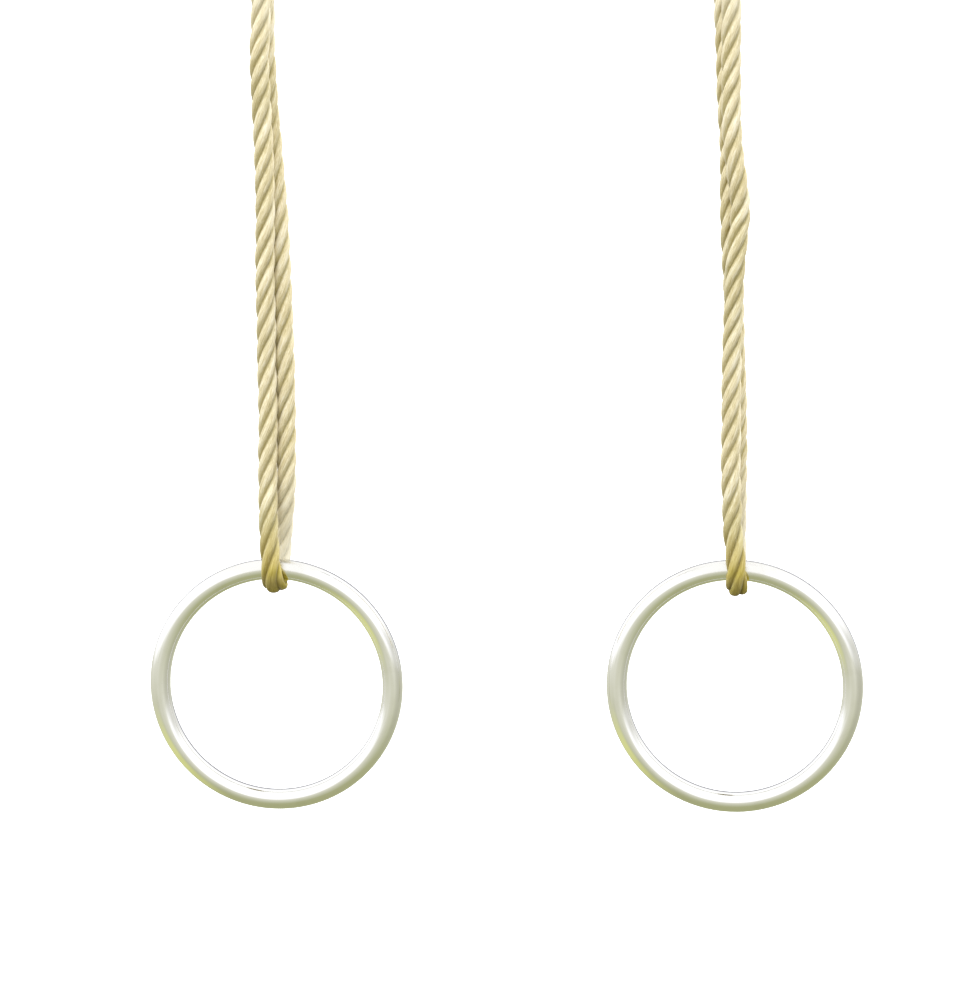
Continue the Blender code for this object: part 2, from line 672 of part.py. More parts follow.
def rope(side, x, legs):
    points = smooth_route(rope_route(legs), ROPE_RUN)
    return piece(f"rope_{side}", tube("rope", points, ROPE_RADIUS, 2), HEMP, (x, 0, 0))


def seizing_points():
    """Loops of twine round both legs: two half circles joined by straight runs, falling steadily."""
    corner = ROPE_RADIUS + TWINE_SLACK + TWINE_RADIUS
    straight = 2 * HALF_GAP
    half_circle = math.pi * corner
    length = 2 * (straight + half_circle)
    points = []
    for step in range(SEIZING_TURNS * TWINE_STEPS + 1):
        along = length * (step % TWINE_STEPS) / TWINE_STEPS
        back, along = (1, along) if along < length / 2 else (-1, along - length / 2)
        if along < half_circle:
            turn = along / corner
            x, y = corner * math.cos(turn), HALF_GAP + corner * math.sin(turn)
        else:
            x, y = -corner, HALF_GAP - (along - half_circle)
        z = SEIZING_TOP - TWINE_RADIUS - TWINE_STEP * step / TWINE_STEPS
        points.append(Vector((back * x, back * y, z)))
    return points


def least_gap(points, radius, skip):
    """The least space between stretches of one tube that lie at least skip points apart."""
    nearest = min(
        (second - first).length
        for number, first in enumerate(points)
        for second in points[number + skip :]
    )
    return nearest - 2 * radius


def seizing(side, x):
    form = tube("seizing", seizing_points(), TWINE_RADIUS, 1)
    return piece(f"seizing_{side}", form, TWINE, (x, 0, 0))


def ring(side, x):
    section = [
        (RING_RADIUS + RING_BAR_RADIUS * math.cos(turn), RING_BAR_RADIUS * math.sin(turn))
        for turn in (math.tau * step / RING_SIDES for step in range(RING_SIDES))
    ]
    form = turned("ring", section, RING_STEPS)
    return piece(f"ring_{side}", form, POLISHED_STEEL, (x, 0, RING_Z), ALONG_Y)


def hanging_side(side, turn, legs):
    """One whole side; turn is -1 on the left and 1 on the right, and puts each gate on the outside."""
    x = turn * SPACING / 2
    sway = axis_empty(f"sway_axis_{side}", (x, 0, PIVOT_Z), None)
    swivel = axis_empty(f"swivel_axis_{side}", (x, 0, CUP_UNDERSIDE), sway)
    gate_axis = axis_empty(f"gate_axis_{side}", (x + turn * HOOK_BEND_RADIUS, 0, HINGE_Z), swivel)
    swing = axis_empty(f"swing_axis_{side}", (x, 0, HOOK_BOTTOM), swivel)
    tilt = axis_empty(f"tilt_axis_{side}", (x, 0, RING_BAR_Z), swing)

    ceiling_plate(side, x)
    bush = pivot_fasteners(side, x)
    lower_race = race(f"lower_race_{side}", x, LOWER_RACE_END, 1)
    attach(sway, bush, swing_eye(side, x), swivel_cup(side, x), lower_race, *ball_set(side, x))

    pin_z = (SWIVEL_NUT_TOP + SWIVEL_NUT_END) / 2
    along_x = Matrix.Rotation(math.radians(90), 4, "Y")
    hole = rod("pin_hole", NUT_PIN_RADIUS + CLEARANCE, -NUT_PIN_LENGTH, NUT_PIN_LENGTH, SMALL_SIDES)
    pin_hole = piece(f"pin_hole_{side}", hole, ZINC, (x, 0, pin_z), along_x)
    pin_form = rod("nut_pin", NUT_PIN_RADIUS, -NUT_PIN_LENGTH / 2, NUT_PIN_LENGTH / 2, SMALL_SIDES)
    nut_pin = piece(f"nut_pin_{side}", pin_form, BEARING_STEEL, (x, 0, pin_z), along_x)
    hook = snap_hook(side, x, turn, pin_hole)
    gate, gate_pin, spring = gate_set(side, x, turn)
    upper_race = race(f"upper_race_{side}", x, UPPER_RACE_TOP, -1)
    attach(swivel, upper_race, swivel_nut(side, x, pin_hole), nut_pin, hook, gate_pin)
    attach(gate_axis, gate, spring)
    attach(swing, thimble(side, x), rope(side, x, legs), seizing(side, x))
    attach(tilt, ring(side, x))


for old in list(bpy.data.objects):
    bpy.data.objects.remove(old)

POLISHED_STEEL = finish("polished_steel", (0.82, 0.82, 0.80), 0.06, 1)
ZINC = finish("zinc_plated_steel", (0.62, 0.63, 0.64), 0.32, 1)
BEARING_STEEL = finish("bearing_steel", (0.55, 0.56, 0.58), 0.15, 1)
BRASS = finish("brass", (0.78, 0.58, 0.28), 0.3, 1)
HEMP = finish("rope_fibre", (0.80, 0.71, 0.52), 0.9, 0)
TWINE = finish("twine", (0.70, 0.60, 0.42), 0.9, 0)

hanging_side("left", -1, LEFT_LEGS)
hanging_side("right", 1, RIGHT_LEGS)
twine_gap = least_gap(seizing_points(), TWINE_RADIUS, TWINE_STEPS // 2)
print("least gap between turns of twine, mm:", round(1000 * twine_gap, 2))
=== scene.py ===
"""Gymnastic rings: two polished steel rings in doubled laid ropes, under their ceiling fittings.

Metres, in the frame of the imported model: the ceiling is z = 0, the front is towards -Y, and the two
sides hang at equal distances left and right of x = 0. The sections run from the ceiling down.
"""

import json
import math
import random

import bmesh
import bpy
import numpy as np
from mathutils import Matrix, Vector


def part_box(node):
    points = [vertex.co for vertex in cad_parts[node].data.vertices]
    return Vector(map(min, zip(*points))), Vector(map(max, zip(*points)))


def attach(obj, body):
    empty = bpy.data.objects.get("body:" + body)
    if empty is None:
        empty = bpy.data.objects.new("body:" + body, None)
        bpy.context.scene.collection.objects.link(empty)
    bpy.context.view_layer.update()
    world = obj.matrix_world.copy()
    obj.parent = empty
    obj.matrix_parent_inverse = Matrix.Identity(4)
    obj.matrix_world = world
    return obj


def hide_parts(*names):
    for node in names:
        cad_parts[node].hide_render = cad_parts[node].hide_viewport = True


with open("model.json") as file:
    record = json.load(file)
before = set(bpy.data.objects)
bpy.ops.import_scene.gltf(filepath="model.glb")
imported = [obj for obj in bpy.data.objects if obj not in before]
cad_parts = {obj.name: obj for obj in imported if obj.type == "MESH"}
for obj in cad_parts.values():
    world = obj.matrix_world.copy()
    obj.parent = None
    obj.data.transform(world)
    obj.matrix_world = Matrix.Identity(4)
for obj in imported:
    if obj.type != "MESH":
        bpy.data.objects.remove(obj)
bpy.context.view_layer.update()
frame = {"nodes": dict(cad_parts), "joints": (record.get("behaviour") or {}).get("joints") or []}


# The photographer's camera: it stands four metres in front, a little right of the middle and
# above the rings, and looks slightly down, with a long lens. The frame is taken as 980 x 981.
RING_LOW, RING_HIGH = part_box("ring_right")
RING_MIDDLE_Z = (RING_LOW.z + RING_HIGH.z) / 2
CAMERA_DISTANCE = 4.0
CAMERA_RIGHT = 0.38057
CAMERA_ABOVE_RINGS = 0.7899
LOOKS_DOWN = 0.15417
LOOKS_LEFT = 0.0973
LEANS = -0.0142
SENSOR_WIDTH = 36.0
FRAME_WIDTH_PX = 980
FOCAL_PX = 4878.27
FARTHEST_SEEN = 200


def add_object(name, data):
    made = bpy.data.objects.new(name, data)
    bpy.context.collection.objects.link(made)
    return made


level_ahead = Vector((-math.sin(LOOKS_LEFT), math.cos(LOOKS_LEFT), 0))
ahead = level_ahead * math.cos(LOOKS_DOWN) - Vector((0, 0, math.sin(LOOKS_DOWN)))
rightward = Vector((math.cos(LOOKS_LEFT), math.sin(LOOKS_LEFT), 0))
upward = rightward.cross(ahead)
camera_right = math.cos(LEANS) * rightward + math.sin(LEANS) * upward
camera_up = math.cos(LEANS) * upward - math.sin(LEANS) * rightward
camera = add_object("camera", bpy.data.cameras.new("camera"))
camera.data.sensor_fit = "HORIZONTAL"
camera.data.sensor_width = SENSOR_WIDTH
camera.data.lens = SENSOR_WIDTH * FOCAL_PX / FRAME_WIDTH_PX
camera.data.clip_end = FARTHEST_SEEN
camera.matrix_world = Matrix.Translation(
    (CAMERA_RIGHT, -CAMERA_DISTANCE, RING_MIDDLE_Z + CAMERA_ABOVE_RINGS)
) @ Matrix((camera_right, camera_up, -ahead)).transposed().to_4x4()
bpy.context.scene.camera = camera


# The studio: a white room lit from a bright ceiling, over a plain pale floor. The rings hang as
# high above the floor as gymnasts' rings do. Polished metal mirrors a room that darkens to olive
# grey below the horizon, as it does in the photograph, though the camera sees plain white.
FLOOR_BELOW_RINGS = 2.8
FLOOR_HALF_WIDTH = 80
FLOOR_COLOUR = (0.93, 0.93, 0.92, 1)
FLOOR_GLOW = 0.35
WHITE = (1, 1, 1, 1)
MIRRORED_ROOM = [
    (0.00, (0.34, 0.35, 0.19, 1)), (0.12, (0.36, 0.37, 0.21, 1)), (0.24, (0.44, 0.45, 0.31, 1)),
    (0.39, (0.57, 0.57, 0.46, 1)), (0.47, (0.66, 0.66, 0.57, 1)), (0.51, (0.88, 0.88, 0.84, 1)),
    (0.54, (1, 1, 1, 1)),
]
MIRRORED_ON_THE_LEFT = (0.72, 0.74, 0.26, 1)
MIRRORED_ON_THE_RIGHT = (0.38, 0.38, 0.30, 1)
MIRRORED_FAR_BEHIND = (0.22, 0.22, 0.25, 1)
MIRRORED_PATCHES = 0.6
MIRRORED_UNEVENNESS = 0.1
MIRRORED_STRENGTH = 1.2
LIGHT_FROM_ABOVE = (1.95, 1.98, 2.06, 1)
LIGHT_FROM_BELOW = (0.14, 0.12, 0.05, 1)


class Shade:
    """An output in a node tree. Arithmetic on it adds Math nodes, and node() adds any other node."""

    def __init__(self, tree, output=None):
        self.tree = tree
        self.output = output

    def node(self, kind, settings=None, sockets=None, out=0):
        made = self.tree.nodes.new("ShaderNode" + kind)
        for name, value in (settings or {}).items():
            if name == "stops":
                elements = made.color_ramp.elements
                while len(elements) < len(value):
                    elements.new(1)
                for element, (place, colour) in zip(elements, value):
                    element.position = place
                    element.color = colour
            else:
                setattr(made, name, value)
        for name, value in (sockets or {}).items():
            self.join(made.inputs[name], value)
        return Shade(self.tree, made.outputs[out] if made.outputs else None)

    def join(self, socket, value):
        if isinstance(value, Shade):
            self.tree.links.new(value.output, socket)
        else:
            socket.default_value = value

    def paint(self, **sockets):
        """Joins values to the material's own shader, as in Base_Color=value."""
        shader = self.tree.nodes["Principled BSDF"]
        for name, value in sockets.items():
            self.join(shader.inputs[name.replace("_", " ")], value)

    def noise(self, place, scale, detail, **sockets):
        """Soft uneven spots, the finer the larger the scale."""
        return self.node("TexNoise", {}, {"Vector": place, "Scale": scale, "Detail": detail, **sockets})

    def between(self, low, high, first=0, last=1):
        """The value brought from low..high to first..last, with eased ends."""
        settings = {"interpolation_type": "SMOOTHSTEP"}
        sockets = {"Value": self, "From Min": low, "From Max": high, "To Min": first, "To Max": last}
        return self.node("MapRange", settings, sockets)

    def mix(self, first, second):
        """A colour between first and second, by this value."""
        return self.node("Mix", {"data_type": "RGBA"}, {0: self, 6: first, 7: second}, out=2)

    def math(self, operation, first, second):
        return self.node("Math", {"operation": operation}, {0: first, 1: second})

    def __add__(self, other):
        return self.math("ADD", self, other)

    def __sub__(self, other):
        return self.math("SUBTRACT", self, other)

    def __rsub__(self, other):
        return self.math("SUBTRACT", other, self)

    def __mul__(self, other):
        return self.math("MULTIPLY", self, other)

    __radd__ = __add__
    __rmul__ = __mul__


def new_finish(name):
    """A material, and the start of the nodes that paint it."""
    made = bpy.data.materials.new(name)
    made.use_nodes = True
    return made, Shade(made.node_tree)


def mesh_from(name, form):
    """The mesh of a form in bmesh, which ends with this."""
    mesh = bpy.data.meshes.new(name)
    form.to_mesh(mesh)
    form.free()
    return mesh


def studio_room():
    """White to the camera, a graded room to polished metal, and light from above to matt pieces."""
    world = bpy.data.worlds.new("room")
    bpy.context.scene.world = world
    world.use_nodes = True
    world.node_tree.nodes.clear()
    room = Shade(world.node_tree)
    towards = room.node("TexCoord", out=0)
    across, depth, height = (room.node("SeparateXYZ", {}, {0: towards}, out=axis) for axis in range(3))
    level = height * 0.5 + 0.5 + (room.noise(towards, 2.6, 2) - 0.5) * MIRRORED_UNEVENNESS
    mirrored = room.node("ValToRGB", {"stops": MIRRORED_ROOM}, {"Fac": level})
    down_left = across.between(-0.35, -0.75) * height.between(-0.25, -0.6)
    mirrored = (down_left * MIRRORED_PATCHES).mix(mirrored, MIRRORED_ON_THE_LEFT)
    far_right = across.between(0.5, 0.97) * height.between(0.45, 0.15)
    mirrored = (far_right * MIRRORED_PATCHES).mix(mirrored, MIRRORED_ON_THE_RIGHT)
    behind = height.between(-0.17, -0.02).mix(mirrored, MIRRORED_FAR_BEHIND)
    mirrored = depth.between(0.60, 0.92).mix(mirrored, behind)
    spread = height.between(-0.35, 0.35).mix(LIGHT_FROM_BELOW, LIGHT_FROM_ABOVE)
    in_metal = room.node("LightPath", out="Is Glossy Ray")
    strength = 1 + (MIRRORED_STRENGTH - 1) * in_metal
    seen = room.node("Background", {}, {"Color": WHITE, "Strength": 1.0})
    unseen = room.node("Background", {}, {"Color": in_metal.mix(spread, mirrored), "Strength": strength})
    to_camera = room.node("LightPath", out="Is Camera Ray")
    either = room.node("MixShader", {}, {0: to_camera, 1: unseen, 2: seen})
    room.node("OutputWorld", {}, {"Surface": either})


def soft_light(name, at, towards, size, watts, colour):
    light = bpy.data.lights.new(name, "AREA")
    light.size = size
    light.energy = watts
    light.color = colour
    made = add_object(name, light)
    made.location = at
    made.rotation_euler = (Vector(towards) - Vector(at)).to_track_quat("-Z", "Y").to_euler()
    made.visible_glossy = False


def pale_floor():
    form = bmesh.new()
    bmesh.ops.create_grid(form, x_segments=1, y_segments=1, size=FLOOR_HALF_WIDTH)
    floor = add_object("floor", mesh_from("floor", form))
    floor.location.z = RING_LOW.z - FLOOR_BELOW_RINGS
    paint, shade = new_finish("pale_floor")
    shade.paint(
        Base_Color=FLOOR_COLOUR,
        Roughness=0.9,
        Emission_Color=WHITE,
        Emission_Strength=FLOOR_GLOW,
    )
    floor.data.materials.append(paint)
    floor.visible_glossy = False
    floor.visible_diffuse = False


studio_room()
pale_floor()
soft_light("overhead_light", at=(-0.5, -1.1, 0.7), towards=(0, 0, -0.5), size=1.2, watts=9,
           colour=(1.0, 0.99, 0.98))
soft_light("rim_light", at=(1.8, 2.2, 1.0), towards=(0, 0, -0.7), size=1.6, watts=70,
           colour=(1.0, 1.0, 0.99))
bpy.context.scene.view_settings.view_transform = "Standard"


# Ceiling plates: each is a square of 6 mm steel with rounded corners and four screw holes, with
# two lugs welded under it for the pivot bolt, and zinc plated afterwards. The two hang a shoulder's
# width apart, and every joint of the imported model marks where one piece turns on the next.
SIDES = {"left": -1, "right": 1}
JOINT_AT = {joint["name"]: Vector(joint["pos_m"]) for joint in frame["joints"]}
SIDE_X = {side: JOINT_AT[f"sway_{side}"].x for side in SIDES}
PIVOT_Z = JOINT_AT["sway_left"].z
PLATE_WIDTH = 0.090
PLATE_THICKNESS = 0.006
PLATE_CORNER = 0.010
SCREW_HOLE_RADIUS = 0.0045
SCREW_INSET = 0.014
LUG_THICKNESS = 0.006
LUG_RADIUS = 0.015
LUG_MIDDLE = 0.014
LUG_BORE_RADIUS = 0.0063
EDGE_ROUNDING = 0.0006
WELD_RADIUS = 0.0016
WELD_RIPPLE = 0.0011
WELD_SWELL = 0.09
WELD_OFF_LUG = WELD_RADIUS * 0.25
WELD_OFF_PLATE = WELD_RADIUS * 0.2
ZINC_DULL = (0.47, 0.49, 0.52, 1)
ZINC_BRIGHT = (0.58, 0.59, 0.61, 1)
ZINC_STAINED = (0.50, 0.48, 0.41, 1)
HERE = Matrix.Identity(4)
ALONG_Y = Matrix.Rotation(math.radians(90), 4, "X")


def arc(centre, radius, start, end, steps):
    """Points of an arc in a plane, as (across, up) pairs, angles in radians."""
    turns = [start + (end - start) * step / steps for step in range(steps + 1)]
    return [
        (centre[0] + radius * math.cos(turn), centre[1] + radius * math.sin(turn))
        for turn in turns
    ]


def circle(radius, sides, centre=(0, 0)):
    return arc(centre, radius, 0, math.tau * (sides - 1) / sides, sides - 1)


def cut_plate(outlines, thickness, rounding):
    """A mesh cut from flat stock in the XY plane: a rim, then holes, with every edge rounded."""
    flat = bpy.data.curves.new("cut_plate", "CURVE")
    flat.dimensions = "2D"
    flat.fill_mode = "BOTH"
    flat.extrude = thickness / 2 - rounding
    flat.bevel_depth = rounding
    flat.bevel_resolution = 2
    flat.offset = -rounding
    for outline in outlines:
        spline = flat.splines.new("POLY")
        spline.points.add(len(outline) - 1)
        spline.use_cyclic_u = True
        for point, (across, up) in zip(spline.points, outline):
            point.co = (across, up, 0, 1)
    holder = bpy.data.objects.new("cut_plate", flat)
    mesh = bpy.data.meshes.new_from_object(holder)
    bpy.data.objects.remove(holder)
    return mesh


def smoothed(mesh, below=35):
    """The mesh, smooth where its faces meet at less than that many degrees."""
    mesh.shade_smooth()
    mesh.set_sharp_from_angle(angle=math.radians(below))
    return mesh


def closed(name, form, smooth_below=35):
    """The mesh of a form in bmesh, its seams joined and its faces turned outwards."""
    bmesh.ops.remove_doubles(form, verts=form.verts[:], dist=1e-6)
    bmesh.ops.recalc_face_normals(form, faces=form.faces[:])
    return smoothed(mesh_from(name, form), smooth_below)


def together(name, parts, smooth_below=35):
    """One mesh from several (mesh, placing matrix) pairs."""
    form = bmesh.new()
    for mesh, placing in parts:
        placed = mesh.copy()
        placed.transform(placing)
        form.from_mesh(placed)
        bpy.data.meshes.remove(placed)
    return closed(name, form, smooth_below)


def skin(name, rings, endless=False):
    """A mesh over rings of points, each joined to the next: endless, or with both ends capped."""
    sides = len(rings[0])
    points = [point for ring in rings for point in ring]
    joined = len(rings) if endless else len(rings) - 1
    faces = [
        (low + corner, low + (corner + 1) % sides, high + (corner + 1) % sides, high + corner)
        for low, high in ((row * sides, (row + 1) * sides % len(points)) for row in range(joined))
        for corner in range(sides)
    ]
    if not endless:
        faces.append(tuple(range(sides - 1, -1, -1)))
        faces.append(tuple(range(len(points) - sides, len(points))))
    mesh = bpy.data.meshes.new(name)
    mesh.from_pydata(points, [], faces)
    mesh.shade_smooth()
    return mesh


def weld_bead(start, end):
    """A fat line along a joint, whose surface ripples as the weld was laid."""
    length = (Vector(end) - Vector(start)).length
    steps = round(length / WELD_RIPPLE * 6)
    rings = []
    for step in range(steps + 1):
        share = step / steps
        swell = 1 + WELD_SWELL * math.sin(math.tau * share * length / WELD_RIPPLE)
        closing = math.sqrt(max(0.05, 1 - (2 * share - 1) ** 12))
        reach = WELD_RADIUS * swell * closing
        middle = Vector(start).lerp(Vector(end), share)
        rings.append([middle + Vector((0, across, up)) for across, up in circle(reach, 14)])
    return skin("weld_bead", rings)


def zinc_finish():
    """Zinc plate: pale, faintly mottled blue-grey steel, satin, duller where it was handled."""
    made, shade = new_finish("zinc_plate")
    place = shade.node("TexCoord", out="Object")
    spangle = shade.noise(place, 420, 4, Roughness=0.6)
    clouds = shade.noise(place, 55, 3)
    grain = shade.noise(place, 2600, 2)
    tone = spangle.between(0.30, 0.70)
    bright = tone.mix(ZINC_DULL, ZINC_BRIGHT)
    stained = (clouds.between(0.50, 0.80) * 0.35).mix(bright, ZINC_STAINED)
    bump = shade.node("Bump", {}, {"Strength": 0.03, "Distance": 0.0001, "Height": grain + 0.5 * spangle})
    roughness = 0.20 + 0.12 * tone + 0.10 * clouds
    shade.paint(Base_Color=stained, Roughness=roughness, Metallic=1.0, Normal=bump)
    return made


def fit(name, mesh, finish, body, at=(0, 0, 0), stands_for=()):
    """Puts a piece on the body that carries it, in the place of the CAD nodes it stands for."""
    made = add_object(name, mesh)
    if not mesh.materials:
        mesh.materials.append(finish)
    made.location = at
    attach(made, body)
    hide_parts(*stands_for)
    return made


def ceiling_plate():
    half = PLATE_WIDTH / 2
    corner = half - PLATE_CORNER
    rim = []
    for quarter, (across, up) in enumerate(((1, 1), (-1, 1), (-1, -1), (1, -1))):
        start = quarter * math.pi / 2
        rim += arc((across * corner, up * corner), PLATE_CORNER, start, start + math.pi / 2, 10)
    hole = half - SCREW_INSET
    holes = [
        circle(SCREW_HOLE_RADIUS, 40, (across * hole, up * hole))
        for across in (-1, 1)
        for up in (-1, 1)
    ]
    plate = cut_plate([rim, *holes], PLATE_THICKNESS, EDGE_ROUNDING)
    parts = [(plate, Matrix.Translation((0, 0, -PLATE_THICKNESS / 2)))]
    lug_top = -PIVOT_Z - PLATE_THICKNESS + EDGE_ROUNDING
    outline = [(LUG_RADIUS, lug_top), (-LUG_RADIUS, lug_top)]
    outline += arc((0, 0), LUG_RADIUS, math.pi, math.tau, 40)
    lug = cut_plate([outline, circle(LUG_BORE_RADIUS, 48)], LUG_THICKNESS, EDGE_ROUNDING)
    for end in (-1, 1):
        parts.append((lug, Matrix.Translation((0, end * LUG_MIDDLE, PIVOT_Z)) @ ALONG_Y))
        for face in (-1, 1):
            y = end * LUG_MIDDLE + face * (LUG_THICKNESS / 2 + WELD_OFF_LUG)
            z = -PLATE_THICKNESS - WELD_OFF_PLATE
            bead = weld_bead((-LUG_RADIUS + EDGE_ROUNDING, y, z), (LUG_RADIUS - EDGE_ROUNDING, y, z))
            parts.append((bead, HERE))
    return together("plate_and_lugs", parts)


ZINC = zinc_finish()
plate_mesh = ceiling_plate()
for side, x in SIDE_X.items():
    fit(f"plate_and_lugs_{side}", plate_mesh, ZINC, "ceiling", (x, 0, 0),
        [f"ceiling_plate_{side}"])


# Pivot bolts: a 12 mm hexagon bolt goes through both lugs and the fitting's eye, with a nut at the
# back. Its corners are chamfered and its thread is rolled. A brass bush turns on it in the eye.
BOLT_RADIUS = 0.006
BOLT_FLAT = 0.009
BOLT_HEAD_HEIGHT = 0.0075
NUT_HEIGHT = 0.010
HEXAGON_ROUNDING = 0.00015
CHAMFER_WIDTH = 0.16
CHAMFER_SLOPE = math.radians(30)
CONE_INSIDE_FLATS = 0.98
CONE_AT_CORNERS = 1.16
CONE_OUTSIDE_CORNERS = 1.2
THREAD_STANDOUT = 0.003
THREAD_PITCH = 0.00175
THREAD_DEPTH = 0.0008
THREAD_LENGTH = 0.014
THREAD_TAPER = 0.12
LUG_OUTSIDE = LUG_MIDDLE + LUG_THICKNESS / 2
BUSH_RADIUS = 0.0087
BUSH_HALF_LENGTH = 0.0107
RUNNING_GAP = 0.0003
OVERLAP = 0.001
BRASS_BRIGHT = (0.83, 0.62, 0.30, 1)
BRASS_STAINED = (0.58, 0.38, 0.15, 1)


def eased(outline, radius, steps=3):
    """A closed outline with each corner rounded, apart from those on the axis, where across is 0."""
    made = []
    count = len(outline)
    for number, corner in enumerate(outline):
        corner = Vector(corner)
        before = Vector(outline[number - 1]) - corner
        after = Vector(outline[(number + 1) % count]) - corner
        if corner.x < 1e-9 or before.angle(after) > math.radians(175):
            made.append(tuple(corner))
            continue
        cut = min(radius, 0.4 * before.length, 0.4 * after.length)
        start = corner + before.normalized() * cut
        end = corner + after.normalized() * cut
        for step in range(steps + 1):
            share = step / steps
            first = start.lerp(corner, share)
            made.append(tuple(first.lerp(corner.lerp(end, share), share)))
    return made


def turned(name, outline, rounding=0.0004, sides=72):
    """A closed outline of (radius, height) points, its corners eased, spun about Z."""
    form = bmesh.new()
    corners = [form.verts.new((across, 0, up)) for across, up in eased(outline, rounding)]
    for first, second in zip(corners, corners[1:] + corners[:1]):
        if first.co.x > 0 or second.co.x > 0:
            form.edges.new((first, second))
    bmesh.ops.spin(form, geom=form.verts[:] + form.edges[:], cent=(0, 0, 0), axis=(0, 0, 1),
                   angle=math.tau, steps=sides, use_merge=True)
    return closed(name, form)


def rod(name, radius, start, end, rounding=0.0004, sides=72):
    """A plain rod along Z."""
    return turned(name, ((0, start), (radius, start), (radius, end), (0, end)), rounding, sides)


def with_modifiers(holder):
    """The mesh that an object's modifiers make of it."""
    bpy.context.view_layer.update()
    changed = holder.evaluated_get(bpy.context.evaluated_depsgraph_get())
    return bpy.data.meshes.new_from_object(changed)


def combined(mesh, operation, others):
    """The mesh after a Boolean with each of the others, which are (mesh, placing matrix) pairs."""
    holder = add_object("combined", mesh)
    tools = []
    for other, placing in others:
        tool = add_object("tool", other)
        tool.matrix_world = placing
        modifier = holder.modifiers.new("tool", "BOOLEAN")
        modifier.operation = operation
        modifier.object = tool
        tools.append(tool)
    made = with_modifiers(holder)
    for used in (holder, *tools):
        bpy.data.objects.remove(used)
    return smoothed(made)


def hexagon(flat, height, chamfered_ends, bore=None):
    """A hexagon of that half width across flats, its corners cut back by a cone at one or both ends."""
    rim = circle(flat / math.cos(math.pi / 6), 6)
    outlines = [rim, circle(bore, 48)] if bore else [rim]
    body = cut_plate(outlines, height, HEXAGON_ROUNDING)
    half = height / 2
    drop = flat * CHAMFER_WIDTH * math.tan(CHAMFER_SLOPE)
    corners, flats = flat * CONE_AT_CORNERS, flat * CONE_INSIDE_FLATS
    lower = [(0, -half), (flats, -half), (corners, -half + drop)]
    if chamfered_ends == 1:
        lower = [(0, -half - drop), (flat * CONE_OUTSIDE_CORNERS, -half - drop)]
    cone = turned("cone", [*lower, (corners, half - drop), (flats, half), (0, half)], 0.0002)
    return combined(body, "INTERSECT", [(cone, HERE)])


def threaded_rod(radius, low, high):
    """A rod whose surface is a rolled thread, from low to high along Z, tapering in at both ends."""
    rows_per_turn = 8
    sides = 48
    rows = round((high - low) / THREAD_PITCH * rows_per_turn)
    rings = []
    for row in range(rows + 1):
        height = low + (high - low) * row / rows
        to_end = min(height - low, high - height) / THREAD_PITCH
        lead_in = 1 - THREAD_TAPER * max(0, 1 - to_end * 1.4)
        ring = []
        for corner in range(sides):
            turn = math.tau * corner / sides
            wave = abs(2 * ((height / THREAD_PITCH - corner / sides) % 1) - 1)
            reach = (radius - THREAD_DEPTH * wave) * lead_in
            ring.append((reach * math.cos(turn), reach * math.sin(turn), height))
        rings.append(ring)
    return skin("thread", rings)


def pivot_bolt():
    reach = LUG_OUTSIDE + RUNNING_GAP
    shank_end = reach + NUT_HEIGHT + THREAD_STANDOUT
    thread_start = shank_end - THREAD_LENGTH
    head = hexagon(BOLT_FLAT, BOLT_HEAD_HEIGHT, 1)
    plain = rod("shank", BOLT_RADIUS, thread_start, -reach - OVERLAP)
    thread = threaded_rod(BOLT_RADIUS, thread_start - OVERLAP, shank_end)
    head_at = Matrix.Translation((0, -reach - BOLT_HEAD_HEIGHT / 2, 0)) @ ALONG_Y
    to_back = Matrix.Rotation(math.radians(-90), 4, "X")
    return together("pivot_bolt", [(head, head_at), (plain, to_back), (thread, to_back)], 30)


def brass_finish():
    """Brass, turned and then rubbed: warm, satin, with fine lines round it and brown stains."""
    made, shade = new_finish("brass")
    place = shade.node("TexCoord", out="Object")
    worn = shade.noise(place, 260, 4).between(0.35, 0.70)
    lines = shade.noise(place, 3000, 2)
    bump = shade.node("Bump", {}, {"Strength": 0.2, "Distance": 0.00008, "Height": lines})
    shade.paint(Base_Color=worn.mix(BRASS_BRIGHT, BRASS_STAINED), Roughness=0.22 + 0.2 * worn,
                Metallic=1.0, Normal=bump)
    return made


BRASS = brass_finish()
bolt_mesh = pivot_bolt()
bore = BOLT_RADIUS + RUNNING_GAP
nut_mesh = together("pivot_nut", [(hexagon(BOLT_FLAT, NUT_HEIGHT, 2, bore), ALONG_Y)])
bush_outline = ((bore, -BUSH_HALF_LENGTH), (BUSH_RADIUS, -BUSH_HALF_LENGTH),
                (BUSH_RADIUS, BUSH_HALF_LENGTH), (bore, BUSH_HALF_LENGTH))
bush_mesh = together("pivot_bush", [(turned("bush", bush_outline), ALONG_Y)])
nut_y = LUG_OUTSIDE + RUNNING_GAP + NUT_HEIGHT / 2
for side, x in SIDE_X.items():
    fit(f"hexagon_bolt_{side}", bolt_mesh, ZINC, "ceiling", (x, 0, PIVOT_Z),
        [f"pivot_bolt_{side}"])
    fit(f"hexagon_nut_{side}", nut_mesh, ZINC, "ceiling", (x, nut_y, PIVOT_Z),
        [f"pivot_nut_{side}"])
    fit(f"brass_bush_{side}", bush_mesh, BRASS, f"swing_eye_{side}", (x, 0, PIVOT_Z),
        [f"pivot_bush_{side}"])


